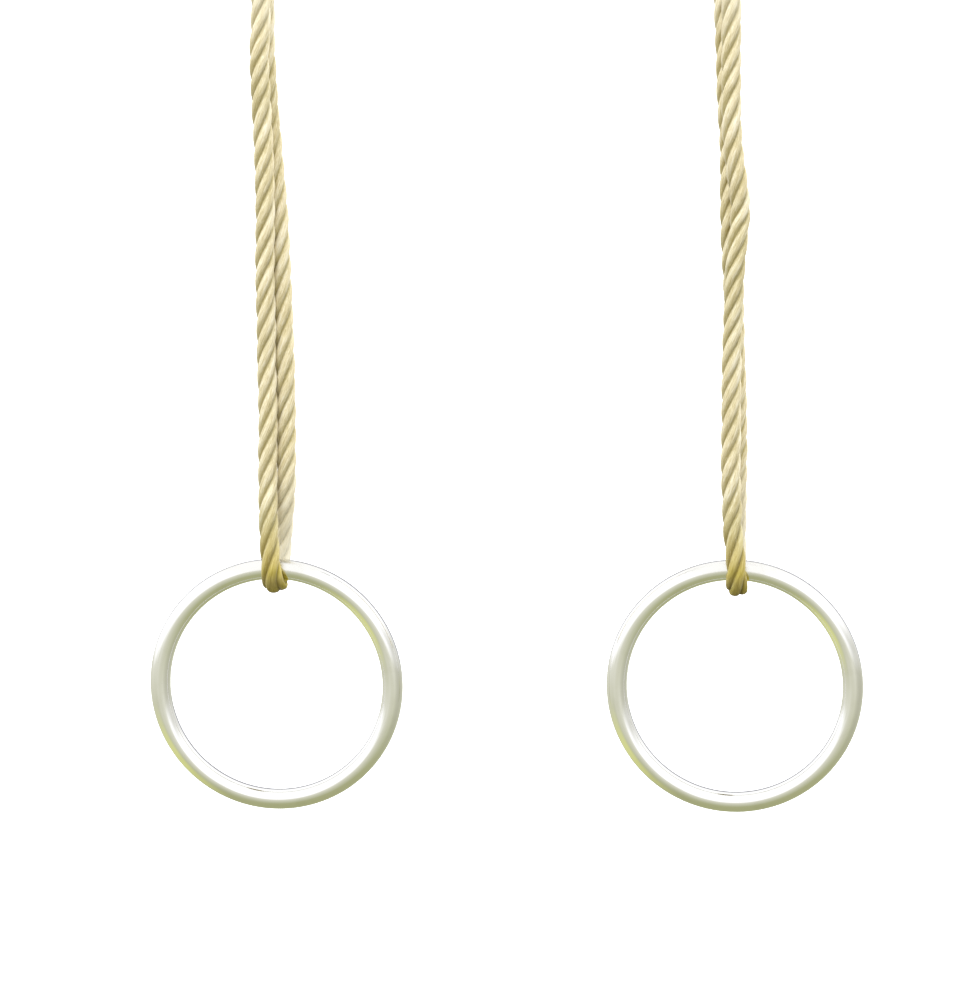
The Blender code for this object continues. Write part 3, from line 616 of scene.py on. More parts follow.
# Swing eyes: each is forged in one piece, an eye on a short flat neck over the round cap that
# screws into the swivel cup. The faces and the bore are machined, the rest is as forged.
EYE_RADIUS = 0.015
EYE_BORE_RADIUS = 0.009
EYE_HALF_WIDTH = 0.010
EYE_FLARE = 0.0012
EYE_FLARE_DEPTH = 0.0008
BORE_REACH = 0.02
NECK_HALF_WIDTH = 0.009
CUP_RADIUS = 0.0191
CUP_BORE_RADIUS = 0.0141
CAP_TOP = -0.048
CAP_UNDERSIDE = -0.056
SPIGOT_END = -0.061
FORGED_ROUNDING = 0.001
FORGED_GRAIN = 0.0005
MACHINED_ROUNDING = 0.0001


def solid_block(low, high):
    form = bmesh.new()
    bmesh.ops.create_cube(form, size=1)
    low, high = Vector(low), Vector(high)
    for vert in form.verts:
        vert.co = Vector(map(math.prod, zip(vert.co, high - low))) + (low + high) / 2
    return mesh_from("block", form)


def forged(name, parts, grain, passes, cuts=()):
    """One solid from parts that overlap, flowing into each other as in a forging, then machined."""
    holder = add_object(name, together(name, parts))
    remesh = holder.modifiers.new("one_skin", "REMESH")
    remesh.mode = "VOXEL"
    remesh.voxel_size = grain
    remesh.use_smooth_shade = True
    soften = holder.modifiers.new("soften", "SMOOTH")
    soften.factor = 0.5
    soften.iterations = passes
    made = with_modifiers(holder)
    bpy.data.objects.remove(holder)
    made.name = name
    return combined(made, "DIFFERENCE", cuts) if cuts else made


def swing_eye():
    loop = rod("loop", EYE_RADIUS, -EYE_HALF_WIDTH, EYE_HALF_WIDTH, FORGED_ROUNDING)
    neck_low = (CAP_TOP + CAP_UNDERSIDE) / 2
    neck = solid_block((-NECK_HALF_WIDTH, -EYE_HALF_WIDTH, neck_low),
                       (NECK_HALF_WIDTH, EYE_HALF_WIDTH, PIVOT_Z))
    spigot = CUP_BORE_RADIUS - RUNNING_GAP
    cap = turned("cap", ((0, SPIGOT_END), (spigot, SPIGOT_END), (spigot, CAP_UNDERSIDE),
                         (CUP_RADIUS, CAP_UNDERSIDE), (CUP_RADIUS, CAP_TOP), (0, CAP_TOP)),
                 FORGED_ROUNDING)
    pivot = Matrix.Translation((0, 0, PIVOT_Z)) @ ALONG_Y
    flare = EYE_BORE_RADIUS + EYE_FLARE
    upper = [(EYE_BORE_RADIUS, EYE_HALF_WIDTH - EYE_FLARE_DEPTH), (flare, EYE_HALF_WIDTH),
             (flare, BORE_REACH), (0, BORE_REACH)]
    lower = [(across, -up) for across, up in reversed(upper)]
    bore = turned("bore", lower + upper, MACHINED_ROUNDING)
    parts = [(loop, pivot), (neck, HERE), (cap, HERE)]
    return forged("forged_eye", parts, FORGED_GRAIN, 6, [(bore, pivot)])


eye_mesh = swing_eye()
for side, x in SIDE_X.items():
    fit(f"forged_eye_{side}", eye_mesh, ZINC, f"swing_eye_{side}", (x, 0, 0),
        [f"swing_eye_{side}"])


# Swivel cups: turned from round bar, each is screwed on the eye's cap. Six balls between two
# hardened races carry the load in it, so that a gymnast can turn without winding up the rope.
CUP_UNDERSIDE = JOINT_AT["swivel_left"].z
CUP_FLOOR = 0.006
CUP_HOLE_RADIUS = 0.0065
CUP_CHAMFER = 0.0015
BEARING_BRIGHT = (0.58, 0.59, 0.61, 1)
BEARING_OILED = (0.55, 0.51, 0.42, 1)


def bearing_finish():
    """Hardened bearing steel, ground bright, with a thin straw film of oil."""
    made, shade = new_finish("bearing_steel")
    film = shade.noise(shade.node("TexCoord", out="Object"), 300, 3)
    colour = film.between(0.35, 0.7).mix(BEARING_BRIGHT, BEARING_OILED)
    shade.paint(Base_Color=colour, Roughness=0.10 + 0.12 * film, Metallic=1.0)
    return made


def finish_nodes(finish, *words):
    """Gives a finish to every CAD node with one of the words in its name."""
    for name, node in frame["nodes"].items():
        if any(word in name for word in words):
            node.data.materials.clear()
            node.data.materials.append(finish)


BEARING_STEEL = bearing_finish()
cup_top = CAP_UNDERSIDE - RUNNING_GAP
cup_mesh = turned("swivel_cup_shell", (
    (CUP_HOLE_RADIUS, CUP_UNDERSIDE), (CUP_RADIUS - CUP_CHAMFER, CUP_UNDERSIDE),
    (CUP_RADIUS, CUP_UNDERSIDE + CUP_CHAMFER), (CUP_RADIUS, cup_top), (CUP_BORE_RADIUS, cup_top),
    (CUP_BORE_RADIUS, CUP_UNDERSIDE + CUP_FLOOR), (CUP_HOLE_RADIUS, CUP_UNDERSIDE + CUP_FLOOR),
), 0.0005, 96)
for side, x in SIDE_X.items():
    fit(f"swivel_shell_{side}", cup_mesh, ZINC, f"swing_eye_{side}", (x, 0, 0),
        [f"swivel_cup_{side}"])
finish_nodes(BEARING_STEEL, "race", "bearing_ball", "nut_pin")
finish_nodes(BRASS, "ball_cage")
finish_nodes(ZINC, "swivel_nut")


# Snap hooks: each is a bent 10 mm bar under a collar and stud, which hangs in the swivel. The gate
# closes its open side. It is a rod forked over the hook's tongue, on a pin, with a spring inside.
HOOK_BAR_RADIUS = 0.005
HOOK_BEND_RADIUS = JOINT_AT["gate_swing_right"].x - SIDE_X["right"]
HINGE_Z = JOINT_AT["gate_swing_left"].z
HOOK_BOTTOM = JOINT_AT["swing_left"].z
HOOK_TOP = -0.0994
HOOK_GRAIN = 0.00045
STUD_RADIUS = 0.006
STUD_TOP = -0.0625
COLLAR_RADIUS = 0.010
COLLAR_TOP = CUP_UNDERSIDE - RUNNING_GAP
COLLAR_THICKNESS = 0.004
NOSE_Z = -0.1694
NOSE_GAP = 0.0005
TONGUE_HALF_THICKNESS = 0.002
TONGUE_RADIUS = 0.0042
TONGUE_ROOT = 0.010
TONGUE_ROUNDING = 0.0003
GATE_RADIUS = 0.0047
GATE_HEAD_RADIUS = 0.0045
GATE_PIN_RADIUS = 0.0015
GATE_PIN_PLAY = 0.0001


def followed(line):
    """Unit directions along a line of points, and two square to them that turn as little as they can."""
    line = np.asarray(line, float)
    along = np.gradient(line, axis=0)
    along /= np.linalg.norm(along, axis=1)[:, None]
    across = np.zeros_like(along)
    start = np.array((1.0, 0, 0)) if abs(along[0][0]) < 0.9 else np.array((0, 1.0, 0))
    for number, direction in enumerate(along):
        start = start - start.dot(direction) * direction
        start /= np.linalg.norm(start)
        across[number] = start
    return along, across, np.cross(along, across)


def swept(name, line, outline):
    """A section, as (across, up) pairs, carried along a line of points."""
    line = np.asarray(line, float)
    _, across, up = followed(line)
    rings = [
        [middle + right * a + above * b for a, b in outline]
        for middle, right, above in zip(line, across, up)
    ]
    return skin(name, rings)


def hook_line():
    """The bar's middle, from its nose round the lower bend and up round the top to the gate's hinge."""
    low = HOOK_BOTTOM + HOOK_BEND_RADIUS
    high = HOOK_TOP - HOOK_BEND_RADIUS
    bar_end = HINGE_Z + GATE_RADIUS + RUNNING_GAP
    line = [(HOOK_BEND_RADIUS, NOSE_Z), (HOOK_BEND_RADIUS, (NOSE_Z + low) / 2)]
    line += arc((0, low), HOOK_BEND_RADIUS, 0, -math.pi, 40)
    line += [(-HOOK_BEND_RADIUS, low + (high - low) * step / 12) for step in range(1, 12)]
    line += arc((0, high), HOOK_BEND_RADIUS, math.pi, 0, 40)
    line += [(HOOK_BEND_RADIUS, bar_end)]
    return [(across, 0, up) for across, up in line]


def snap_hook():
    """The right-hand hook, whose gate is on its +X side."""
    bar = swept("bar", hook_line(), circle(HOOK_BAR_RADIUS, 36))
    collar_low = COLLAR_TOP - COLLAR_THICKNESS
    stud = turned("stud", (
        (0, HOOK_TOP), (STUD_RADIUS, HOOK_TOP), (STUD_RADIUS, collar_low), (COLLAR_RADIUS, collar_low),
        (COLLAR_RADIUS, COLLAR_TOP), (STUD_RADIUS, COLLAR_TOP), (STUD_RADIUS, STUD_TOP), (0, STUD_TOP),
    ), EDGE_ROUNDING)
    outline = [(TONGUE_RADIUS, TONGUE_ROOT), (-TONGUE_RADIUS, TONGUE_ROOT)]
    outline += arc((0, 0), TONGUE_RADIUS, math.pi, math.tau, 24)
    tongue = cut_plate([outline], 2 * TONGUE_HALF_THICKNESS, TONGUE_ROUNDING)
    hinge = Matrix.Translation((HOOK_BEND_RADIUS, 0, HINGE_Z)) @ ALONG_Y
    return forged("bent_hook", [(bar, HERE), (stud, HERE), (tongue, hinge)], HOOK_GRAIN, 4)


def gate():
    """The rod, rounded over its hinge and slotted for the tongue, about the hinge's own middle."""
    length = HINGE_Z - NOSE_Z - NOSE_GAP
    wide = 3 * GATE_RADIUS
    plain = rod("rod", GATE_RADIUS, -length, 2 * GATE_RADIUS, EDGE_ROUNDING)
    outline = [(-wide, -2 * length), (wide, -2 * length), (wide, 0), (GATE_HEAD_RADIUS, 0)]
    outline += arc((0, 0), GATE_HEAD_RADIUS, 0, math.pi, 32)[1:]
    outline += [(-wide, 0)]
    rounding = cut_plate([outline], 2 * wide, MACHINED_ROUNDING)
    rounded = combined(plain, "INTERSECT", [(rounding, ALONG_Y)])
    half_slot = TONGUE_HALF_THICKNESS + RUNNING_GAP
    slot = solid_block((-wide, -half_slot, -TONGUE_RADIUS - RUNNING_GAP), (wide, half_slot, wide))
    hole = rod("hole", GATE_PIN_RADIUS + GATE_PIN_PLAY, -wide, wide)
    return combined(rounded, "DIFFERENCE", [(slot, HERE), (hole, ALONG_Y)])


hook_mesh = {"right": snap_hook()}
hook_mesh["left"] = hook_mesh["right"].copy()
hook_mesh["left"].transform(Matrix.Scale(-1, 4, (1, 0, 0)))
hook_mesh["left"].flip_normals()
gate_mesh = gate()
pin_end = GATE_RADIUS - RUNNING_GAP
pin = rod("pin", GATE_PIN_RADIUS, -pin_end, pin_end, 0.0005, 32)
pin_mesh = together("gate_pin_rod", [(pin, ALONG_Y)])
for side, turn in SIDES.items():
    x = SIDE_X[side]
    hinge = (x + turn * HOOK_BEND_RADIUS, 0, HINGE_Z)
    fit(f"bent_hook_{side}", hook_mesh[side], ZINC, f"hook_{side}", (x, 0, 0),
        [f"snap_hook_{side}"])
    fit(f"gate_rod_{side}", gate_mesh, ZINC, f"gate_{side}", hinge, [f"gate_{side}"])
    fit(f"hinge_pin_{side}", pin_mesh, BEARING_STEEL, f"hook_{side}", hinge,
        [f"gate_pin_{side}"])
finish_nodes(BEARING_STEEL, "gate_spring")


# Thimbles: a drop-shaped trough bent from 3 mm steel sheet, in the rope's upper eye. It keeps the
# rope from being crushed where it hangs on the hook, and its two points nearly meet at the throat.
ROPE_RADIUS = 0.008
LEG_GAP = 0.0004
LEG_MIDDLE = ROPE_RADIUS + LEG_GAP / 2
THIMBLE_EYE_RADIUS = 0.020
THIMBLE_SHEET = 0.003
THIMBLE_TAPER = math.radians(22)
TROUGH_INSIDE = ROPE_RADIUS + RUNNING_GAP
TROUGH_OUTSIDE = TROUGH_INSIDE + THIMBLE_SHEET
EYE_BEND_RADIUS = THIMBLE_EYE_RADIUS + TROUGH_OUTSIDE
EYE_BEND_Z = HOOK_BOTTOM + HOOK_BAR_RADIUS + RUNNING_GAP - THIMBLE_EYE_RADIUS


def eye_line(end_y):
    """The rope's middle in the thimble, back to front, as (y, z) pairs, from depth end_y to -end_y."""
    bend = arc((0, EYE_BEND_Z), EYE_BEND_RADIUS, -THIMBLE_TAPER, math.pi + THIMBLE_TAPER, 48)
    start = Vector(bend[0])
    run = (start.x - end_y) / math.sin(THIMBLE_TAPER)
    end = start - run * Vector((math.sin(THIMBLE_TAPER), math.cos(THIMBLE_TAPER)))
    leg = [tuple(end.lerp(start, step / 6)) for step in range(6)]
    return [*leg, *bend, *((-y, z) for y, z in reversed(leg))]


def thimble():
    lip = THIMBLE_SHEET / 2
    middle = TROUGH_INSIDE + lip
    section = arc((0, 0), TROUGH_OUTSIDE, -math.pi / 2, math.pi / 2, 28)
    section += arc((0, middle), lip, math.pi / 2, 3 * math.pi / 2, 8)[1:-1]
    section += arc((0, 0), TROUGH_INSIDE, math.pi / 2, -math.pi / 2, 28)
    section += arc((0, -middle), lip, math.pi / 2, 3 * math.pi / 2, 8)[1:-1]
    line = [Vector(point) for point in eye_line(TROUGH_OUTSIDE + RUNNING_GAP)]
    rings = []
    for number, place in enumerate(line):
        along = (line[min(number + 1, len(line) - 1)] - line[max(number - 1, 0)]).normalized()
        inward = Vector((-along.y, along.x))
        rings.append(
            [
                (across, place.x + inward.x * depth, place.y + inward.y * depth)
                for depth, across in section
            ]
        )
    return together("bent_trough", [(skin("trough", rings), HERE)], 50)


thimble_mesh = thimble()
for side, x in SIDE_X.items():
    fit(f"bent_trough_{side}", thimble_mesh, ZINC, f"rope_{side}", (x, 0, 0),
        [f"thimble_{side}"])


# Ropes: each is one loop of 16 mm hemp, laid to the right in four strands and spliced to itself
# inside the seizing. It runs over the thimble and down, round the ring's bar and up again. The two
# legs wander as they hang, and the bend under the bar is pressed flat, stained and darkened by painted
# shade.
ROPE_DROP = 0.500
SPREAD_HEIGHT = 0.070
LEAST_DEPTH = 0.002
SPLICE_DEPTH = 0.010
SEIZING_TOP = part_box("seizing_left")[1].z
BAR_Z = JOINT_AT["tilt_left"].z
BAR_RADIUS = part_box("ring_left")[1].y
BIGHT_RADIUS = BAR_RADIUS + RUNNING_GAP + ROPE_RADIUS
BIGHT_STEPS = 12
LINE_STEP = 0.002
STRANDS = 4
STRAND_MIDDLE = 0.0047
STRAND_DEPTH = 0.0037
STRAND_WIDTH = 0.0042
STRAND_POINTS = 24
STRAND_SWELL = 0.02
ROPE_LAY = 0.0827
FIBRE_LAY = 0.62
HAIR_COUNT = 420
HAIR_SEED = 11
HAIR_LENGTH = (0.002, 0.008)
HAIR_LIFT = (0.10, 0.55)
HAIR_RADIUS = (0.00005, 0.00009)
HAIR_BROWN = (0.70, 0.60, 0.36, 1)
HAIR_PALE = (0.86, 0.79, 0.58, 1)

# Where the bar presses, in degrees round it from the front, and how much flatter and wider that is
PRESSED_FROM = -20
PRESSED_TO = 200
PRESSED_EASE = 75
BIGHT_PRESSED = {"left": (0.31, 0.18), "right": (0.18, 0.08)}

# Stains and painted light, as shares of the darkest tint and heights as shares of the drop: the front leg
# is darker just above the bar, the back leg there and the top are lifted by painted light, and one place
# on each side is rubbed
NEAR_BAR_REACH = 0.18
DARKER_IN_FRONT = 0.95
DARKER_IN_FRONT_FADE = 1.3
PAINTED_LIGHT_BEHIND = 0.9
PAINTED_LIGHT_AT_TOP = 0.25
PAINTED_LIGHT_ABOVE = 0.87
PAINTED_LIGHT_EASE = 0.08
RUBBED_AT = {"left": (0.80, 0.08), "right": (0.50, 0.16)}
RUBBED_STAIN = 0.2
# What stains and painted shade multiply the fibres' colour by, from a little to the darkest
WORN_AND_SHADED_TINT = (0.73, 0.725, 0.60, 1)
HANDLED_AND_SHADED_TINT = (0.67, 0.61, 0.30, 1)

# How much further the painted shade between the strands reaches on their under sides, and its darkest
PAINTED_SHADE_UNDER = 0.6
PAINTED_GROOVE_SHADE = 0.72

# Each leg's wander: height above the ring's bar as a share of the drop, front x, back x
LEGS = {
    "left": (
        (1.000, 0.0000, 0.0000), (0.950, 0.0004, 0.0014), (0.905, -0.0006, 0.0010),
        (0.862, -0.0020, 0.0011), (0.803, -0.0016, 0.0022), (0.703, -0.0003, 0.0055),
        (0.603, -0.0001, 0.0089), (0.503, -0.0014, 0.0107), (0.403, -0.0016, 0.0122),
        (0.364, -0.0022, 0.0127), (0.303, -0.0020, 0.0129), (0.239, -0.0020, 0.0123),
        (0.203, -0.0027, 0.0120), (0.143, -0.0029, 0.0112), (0.093, -0.0025, 0.0086),
        (0.043, -0.0010, 0.0057), (0.000, 0.0002, 0.0031),
    ),
    "right": (
        (1.000, 0.0000, 0.0000), (0.950, 0.0014, -0.0057), (0.905, 0.0015, -0.0054),
        (0.862, 0.0011, -0.0046), (0.803, 0.0008, -0.0042), (0.703, 0.0020, -0.0018),
        (0.650, 0.0055, -0.0017), (0.603, 0.0078, -0.0018), (0.550, 0.0054, -0.0013),
        (0.503, 0.0032, -0.0004), (0.426, 0.0012, 0.0013), (0.364, -0.0003, 0.0022),
        (0.303, -0.0010, 0.0032), (0.239, -0.0011, 0.0036), (0.177, -0.0017, 0.0033),
        (0.103, -0.0006, 0.0024), (0.075, -0.0003, 0.0020), (0.043, 0.0014, 0.0016),
        (0.000, 0.0027, 0.0027),
    ),
}
# How far the strands have turned against an even lay: share of the drop, front and back in degrees,
# and how much further they have turned at the lowest point of the bend
STRAND_TURNS = {
    "left": (
        (0.00, -33, -120), (0.08, -34, -120), (0.11, -36, -119), (0.18, -38, -110), (0.25, -41, -99),
        (0.38, -41, -100), (0.45, -47, -98), (0.52, -52, -95), (0.65, -54, -95), (0.79, -67, -95),
        (0.86, -90, -95),
    ),
    "right": (
        (0.00, 26, -62), (0.05, 25, -64), (0.11, 18, -66), (0.18, 16, -60), (0.25, 17, -61),
        (0.31, 13, -52), (0.38, 8, -50), (0.45, 1, -26), (0.52, -2, -16), (0.58, 5, -18),
        (0.65, -28, -17), (0.72, -50, 0), (0.79, -48, 0), (0.86, -66, 0),
    ),
}
TURN_UNDER_BAR = {"left": -40, "right": 0}


def ease(share):
    """A share from 0 to 1 that starts and ends gently."""
    return share**2 * (3 - 2 * share)


def leg_depth(share, across):
    """How far each leg lies before or behind the middle: beside its twin, then parting for the bar."""
    touching = max(LEAST_DEPTH, math.sqrt(max(0, (2 * LEG_MIDDLE)**2 - across**2)) / 2)
    near = min(1, max(0, 1 - share * ROPE_DROP / SPREAD_HEIGHT))
    return touching + (BIGHT_RADIUS - touching) * ease(near)


def rope_route(legs):
    """Up the back from the splice, over the thimble, down, round the bar and back up."""
    splice_z = SEIZING_TOP - SPLICE_DEPTH
    route = [(0, LEG_MIDDLE, splice_z + RUNNING_GAP / 2), (0, LEG_MIDDLE, SEIZING_TOP)]
    route += [(0, y, z) for y, z in eye_line(LEG_MIDDLE)]
    route += [(0, -LEG_MIDDLE, SEIZING_TOP)]
    for share, front, back in legs:
        route.append((front, -leg_depth(share, back - front), BAR_Z + share * ROPE_DROP))
    start, end = legs[-1][1], legs[-1][2]
    for step in range(1, BIGHT_STEPS):
        turn = math.pi * step / BIGHT_STEPS
        across = start + (end - start) * step / BIGHT_STEPS
        route.append((across, -BIGHT_RADIUS * math.cos(turn), BAR_Z - BIGHT_RADIUS * math.sin(turn)))
    for share, front, back in reversed(legs):
        route.append((back, leg_depth(share, back - front), BAR_Z + share * ROPE_DROP))
    route.append((0, LEG_MIDDLE, splice_z - RUNNING_GAP / 2))
    return np.array(route)


def smooth_line(route, step):
    """A smooth curve through the route's points, however unevenly they lie, read at equal steps."""
    chords = np.diff(route, axis=0)
    lengths = np.linalg.norm(chords, axis=1)[:, None]
    slopes = chords / lengths
    inner = (slopes[:-1] * lengths[1:] + slopes[1:] * lengths[:-1]) / (lengths[1:] + lengths[:-1])
    pulls = np.vstack([slopes[:1], inner, slopes[-1:]])
    share = np.linspace(0, 1, 40, endpoint=False)[:, None]
    stretches = [
        start * (1 + 2 * share) * (1 - share) ** 2 + end * ease(share)
        + length * share * (1 - share) * (leaving * (1 - share) - arriving * share)
        for start, end, length, leaving, arriving in zip(route, route[1:], lengths, pulls, pulls[1:])
    ]
    fine = np.vstack([*stretches, route[-1:]])
    run = np.concatenate([[0], np.cumsum(np.linalg.norm(np.diff(fine, axis=0), axis=1))])
    at = np.linspace(0, run[-1], round(run[-1] / step) + 1)
    return np.column_stack([np.interp(at, run, fine[:, axis]) for axis in range(3)])


def strand_section(count, middle, depth, width, points):
    """One strand's outer side, as (along the radius, across) pairs, from groove to groove."""
    half = math.tan(math.pi / count)
    reach = math.asin(middle * half / math.hypot(width, depth * half)) + math.atan2(depth * half, width)
    turns = np.linspace(-reach, reach, points, endpoint=False)
    return middle + depth * np.cos(turns), width * np.sin(turns), turns / reach


def strand_turns(line, turns, under_bar):
    """The strands' extra turn, in radians, down the front, round under the bar and up the back."""
    share, front, back = np.array(turns).T
    height = (line[:, 2] - BAR_Z) / ROPE_DROP
    on_back = np.arange(len(line)) > line[:, 2].argmin()
    extra = np.where(on_back, np.interp(height, share, back), np.interp(height, share, front))
    low = np.abs(line[:, 2] - BAR_Z) < 1e-9
    round_bar = np.clip(0.5 + line[:, 1] / (2 * BIGHT_RADIUS), 0, 1)
    under = height < 0
    extra = np.where(under | low, front[0] + (back[0] - front[0]) * round_bar, extra)
    extra = extra + under_bar * under * 4 * round_bar * (1 - round_bar)
    return np.radians(extra)


def pressed_stained_and_painted(line, rubbed_at, rubbed_reach):
    """How hard the bar presses each point of a rope's line, and how the rope is tinted there: stains and
    painted shade above 0, painted light below 0.
    """
    y, z = line[:, 1], line[:, 2] - BAR_Z
    round_bar = np.degrees(np.arctan2(-z, -y))
    round_bar = np.where(round_bar < -90, round_bar + 360, round_bar)
    rising = np.clip((round_bar - PRESSED_FROM) / PRESSED_EASE, 0, 1)
    falling = np.clip((PRESSED_TO - round_bar) / PRESSED_EASE, 0, 1)
    press = ease(rising) * ease(falling)
    near_ring = np.clip(1 - z / (NEAR_BAR_REACH * ROPE_DROP), 0, 1) * (1 - press)
    in_front = DARKER_IN_FRONT * near_ring**DARKER_IN_FRONT_FADE
    # The pressed bend is stained and darkened by painted shade, the front leg above the bar is darker,
    # and the back leg there and the top get painted light, below 0
    stain = press + np.where(y < 0, in_front, -PAINTED_LIGHT_BEHIND * near_ring)
    stain -= PAINTED_LIGHT_AT_TOP * np.clip((z / ROPE_DROP - PAINTED_LIGHT_ABOVE) / PAINTED_LIGHT_EASE, 0, 1)
    stain += RUBBED_STAIN * np.clip(1 - np.abs(z / ROPE_DROP - rubbed_at) / rubbed_reach, 0, 1)
    return press, stain


def laid(name, line, count, section, lay, start, pressed=None, rubbed=None):
    """A rope of count strands along a line. Its points carry three values for the finish: groove
    rises to 1 between strands, sooner on their under sides, and sets the painted shade there; fibre is a
    place along the nearly straight fibres; and the third is the rope's tint: stains and painted shade
    above 0, painted light below 0."""
    along, across, up = followed(line)
    step = np.linalg.norm(line[1] - line[0])
    run = np.arange(len(line)) * step
    twist = math.tau * run / lay + start
    radial, sideways, share = section
    points_a_strand = len(radial)
    corners = np.arange(count * points_a_strand)
    strand = corners // points_a_strand
    turn = twist[:, None] + math.tau * strand[None] / count
    radial, sideways = np.tile(radial, count)[None], np.tile(sideways, count)[None]
    swell = 1 + STRAND_SWELL * np.sin(run[:, None] * 47 + strand[None] * 2.1)
    right = (radial * np.cos(turn) - sideways * np.sin(turn)) * swell
    above = (radial * np.sin(turn) + sideways * np.cos(turn)) * swell
    fibre_turn = np.arctan2(above, right) - FIBRE_LAY * twist[:, None]
    far = np.hypot(right, above)
    fibre = np.stack([far * np.cos(fibre_turn), far * np.sin(fibre_turn),
                      run[:, None] + 0.37 * strand[None] + 0 * far], axis=2)
    middle = np.array(line)
    stain = np.zeros(len(line))
    if pressed:
        flatter, wider = pressed
        press, stain = pressed_stained_and_painted(line, *rubbed)
        right = right * (1 + wider * press[:, None])
        above = above * (1 - flatter * press[:, None])
        to_bar = np.array((0, 0, BAR_Z)) - line * (0, 1, 1)
        to_bar /= np.linalg.norm(to_bar, axis=1)[:, None]
        middle = middle + to_bar * (press * flatter * ROPE_RADIUS)[:, None]
    rings = middle[:, None] + across[:, None] * right[..., None] + up[:, None] * above[..., None]
    mesh = skin(name, rings.tolist())
    # Painted shade: the groove value reaches further on the strands' under sides, which face away from
    # the light above
    under = np.clip(np.sign(share) * along[:, 2:], 0, 1)
    groove = np.abs(share) ** (1 - PAINTED_SHADE_UNDER * under)
    values = {"groove": np.tile(groove, (1, count)), "stain": stain[:, None] + 0 * far, "fibre": fibre}
    for value_name, value in values.items():
        kind, key = ("FLOAT_VECTOR", "vector") if value is fibre else ("FLOAT", "value")
        kept = mesh.attributes.new(value_name, kind, "POINT")
        kept.data.foreach_set(key, value.astype(np.float32).ravel())
    return mesh, middle


def fibre_finish(name, dark, middle, light, groove, stained):
    """Hemp or twine: fine straight fibres of uneven colour, with painted shade in the grooves between
    strands, stains and painted shade where the rope is tinted darker, and painted light where it is
    lifted.
    """
    made, shade = new_finish(name)
    fibre = shade.node("Attribute", {"attribute_name": "fibre"}, out="Vector")
    deep = shade.node("Attribute", {"attribute_name": "groove"}, out="Fac")
    stain = shade.node("Attribute", {"attribute_name": "stain"}, out="Fac")
    stretched = shade.node("VectorMath", {"operation": "MULTIPLY"}, {0: fibre, 1: (1, 1, 0.055)})
    yarns = shade.noise(stretched, 750, 2)
    fibres = shade.noise(stretched, 2700, 3, Roughness=0.65)
    lengthwise = shade.node("VectorMath", {"operation": "MULTIPLY"}, {0: fibre, 1: (1, 1, 0.3)})
    patches = shade.noise(lengthwise, 90, 3)
    tone = (0.55 * fibres + 0.30 * yarns + 0.25 * patches).between(0.38, 0.72)
    colour = shade.node("ValToRGB", {"stops": [(0, dark), (0.5, middle), (1, light)]}, {"Fac": tone})
    flecks = fibres.between(0.70, 0.78) * 0.5
    colour = flecks.mix(colour, dark)
    # Painted shade: the grooves between strands darken towards the groove colour
    colour = deep.between(0.50, 1.0, 0, PAINTED_GROOVE_SHADE).mix(colour, groove)
    # Stains and painted shade: the tint darkens the bend under the bar and the front leg above it
    tints = [(0, WHITE), (0.45, WORN_AND_SHADED_TINT), (0.85, HANDLED_AND_SHADED_TINT), (1, stained)]
    tint = shade.node("ValToRGB", {"stops": tints}, {"Fac": stain})
    colour = shade.node("VectorMath", {"operation": "MULTIPLY"}, {0: colour, 1: tint})
    # Painted light: below 0, on the back leg above the bar and near the top, the colour is lifted towards
    # the light tone
    colour = (stain * -1).mix(colour, light)
    height = 0.7 * fibres + 0.9 * yarns
    bump = shade.node("Bump", {}, {"Strength": 0.75, "Distance": 0.0005, "Height": height})
    shade.paint(Base_Color=colour, Roughness=0.86, Sheen_Weight=0.25, Sheen_Roughness=0.5,
                Specular_IOR_Level=0.2, Normal=bump)
    return made


def loose_fibres(name, line, radius, count, seed):
    """Short hairs that stand out from a rope, each a thin tapering curve."""
    draw = random.Random(seed)
    along, across, up = followed(line)
    points, faces = [], []
    rows = 4
    for _ in range(count):
        row = draw.randrange(4, len(line) - 4)
        turn = draw.uniform(0, math.tau)
        out = across[row] * math.cos(turn) + up[row] * math.sin(turn)
        beside = np.cross(along[row], out)
        forward = along[row] * draw.choice((-1, 1)) + beside * draw.uniform(-0.5, 0.5)
        length = draw.uniform(*HAIR_LENGTH)
        lift = draw.uniform(*HAIR_LIFT)
        thick = draw.uniform(*HAIR_RADIUS)
        base = len(points)
        for step in range(rows):
            share = step / (rows - 1)
            place = line[row] + out * (radius + lift * length * share**1.5) + forward * length * share
            reach = thick * (1 - 0.8 * share)
            for corner in range(3):
                angle = math.tau * corner / 3
                points.append(place + reach * (math.cos(angle) * out + math.sin(angle) * beside))
        for step in range(rows - 1):
            low, high = base + 3 * step, base + 3 * step + 3
            for corner in range(3):
                following = (corner + 1) % 3
                faces.append((low + corner, low + following, high + following, high + corner))
        faces.append((base + 2, base + 1, base))
        faces.append(tuple(base + 3 * (rows - 1) + corner for corner in range(3)))
    mesh = bpy.data.meshes.new(name)
    mesh.from_pydata([tuple(point) for point in points], [], faces)
    return mesh


def hair_finish():
    made, shade = new_finish("loose_fibre")
    patches = shade.noise(shade.node("TexCoord", out="Object"), 300, 1)
    shade.paint(Base_Color=patches.between(0.4, 0.6).mix(HAIR_BROWN, HAIR_PALE), Roughness=0.8)
    return made


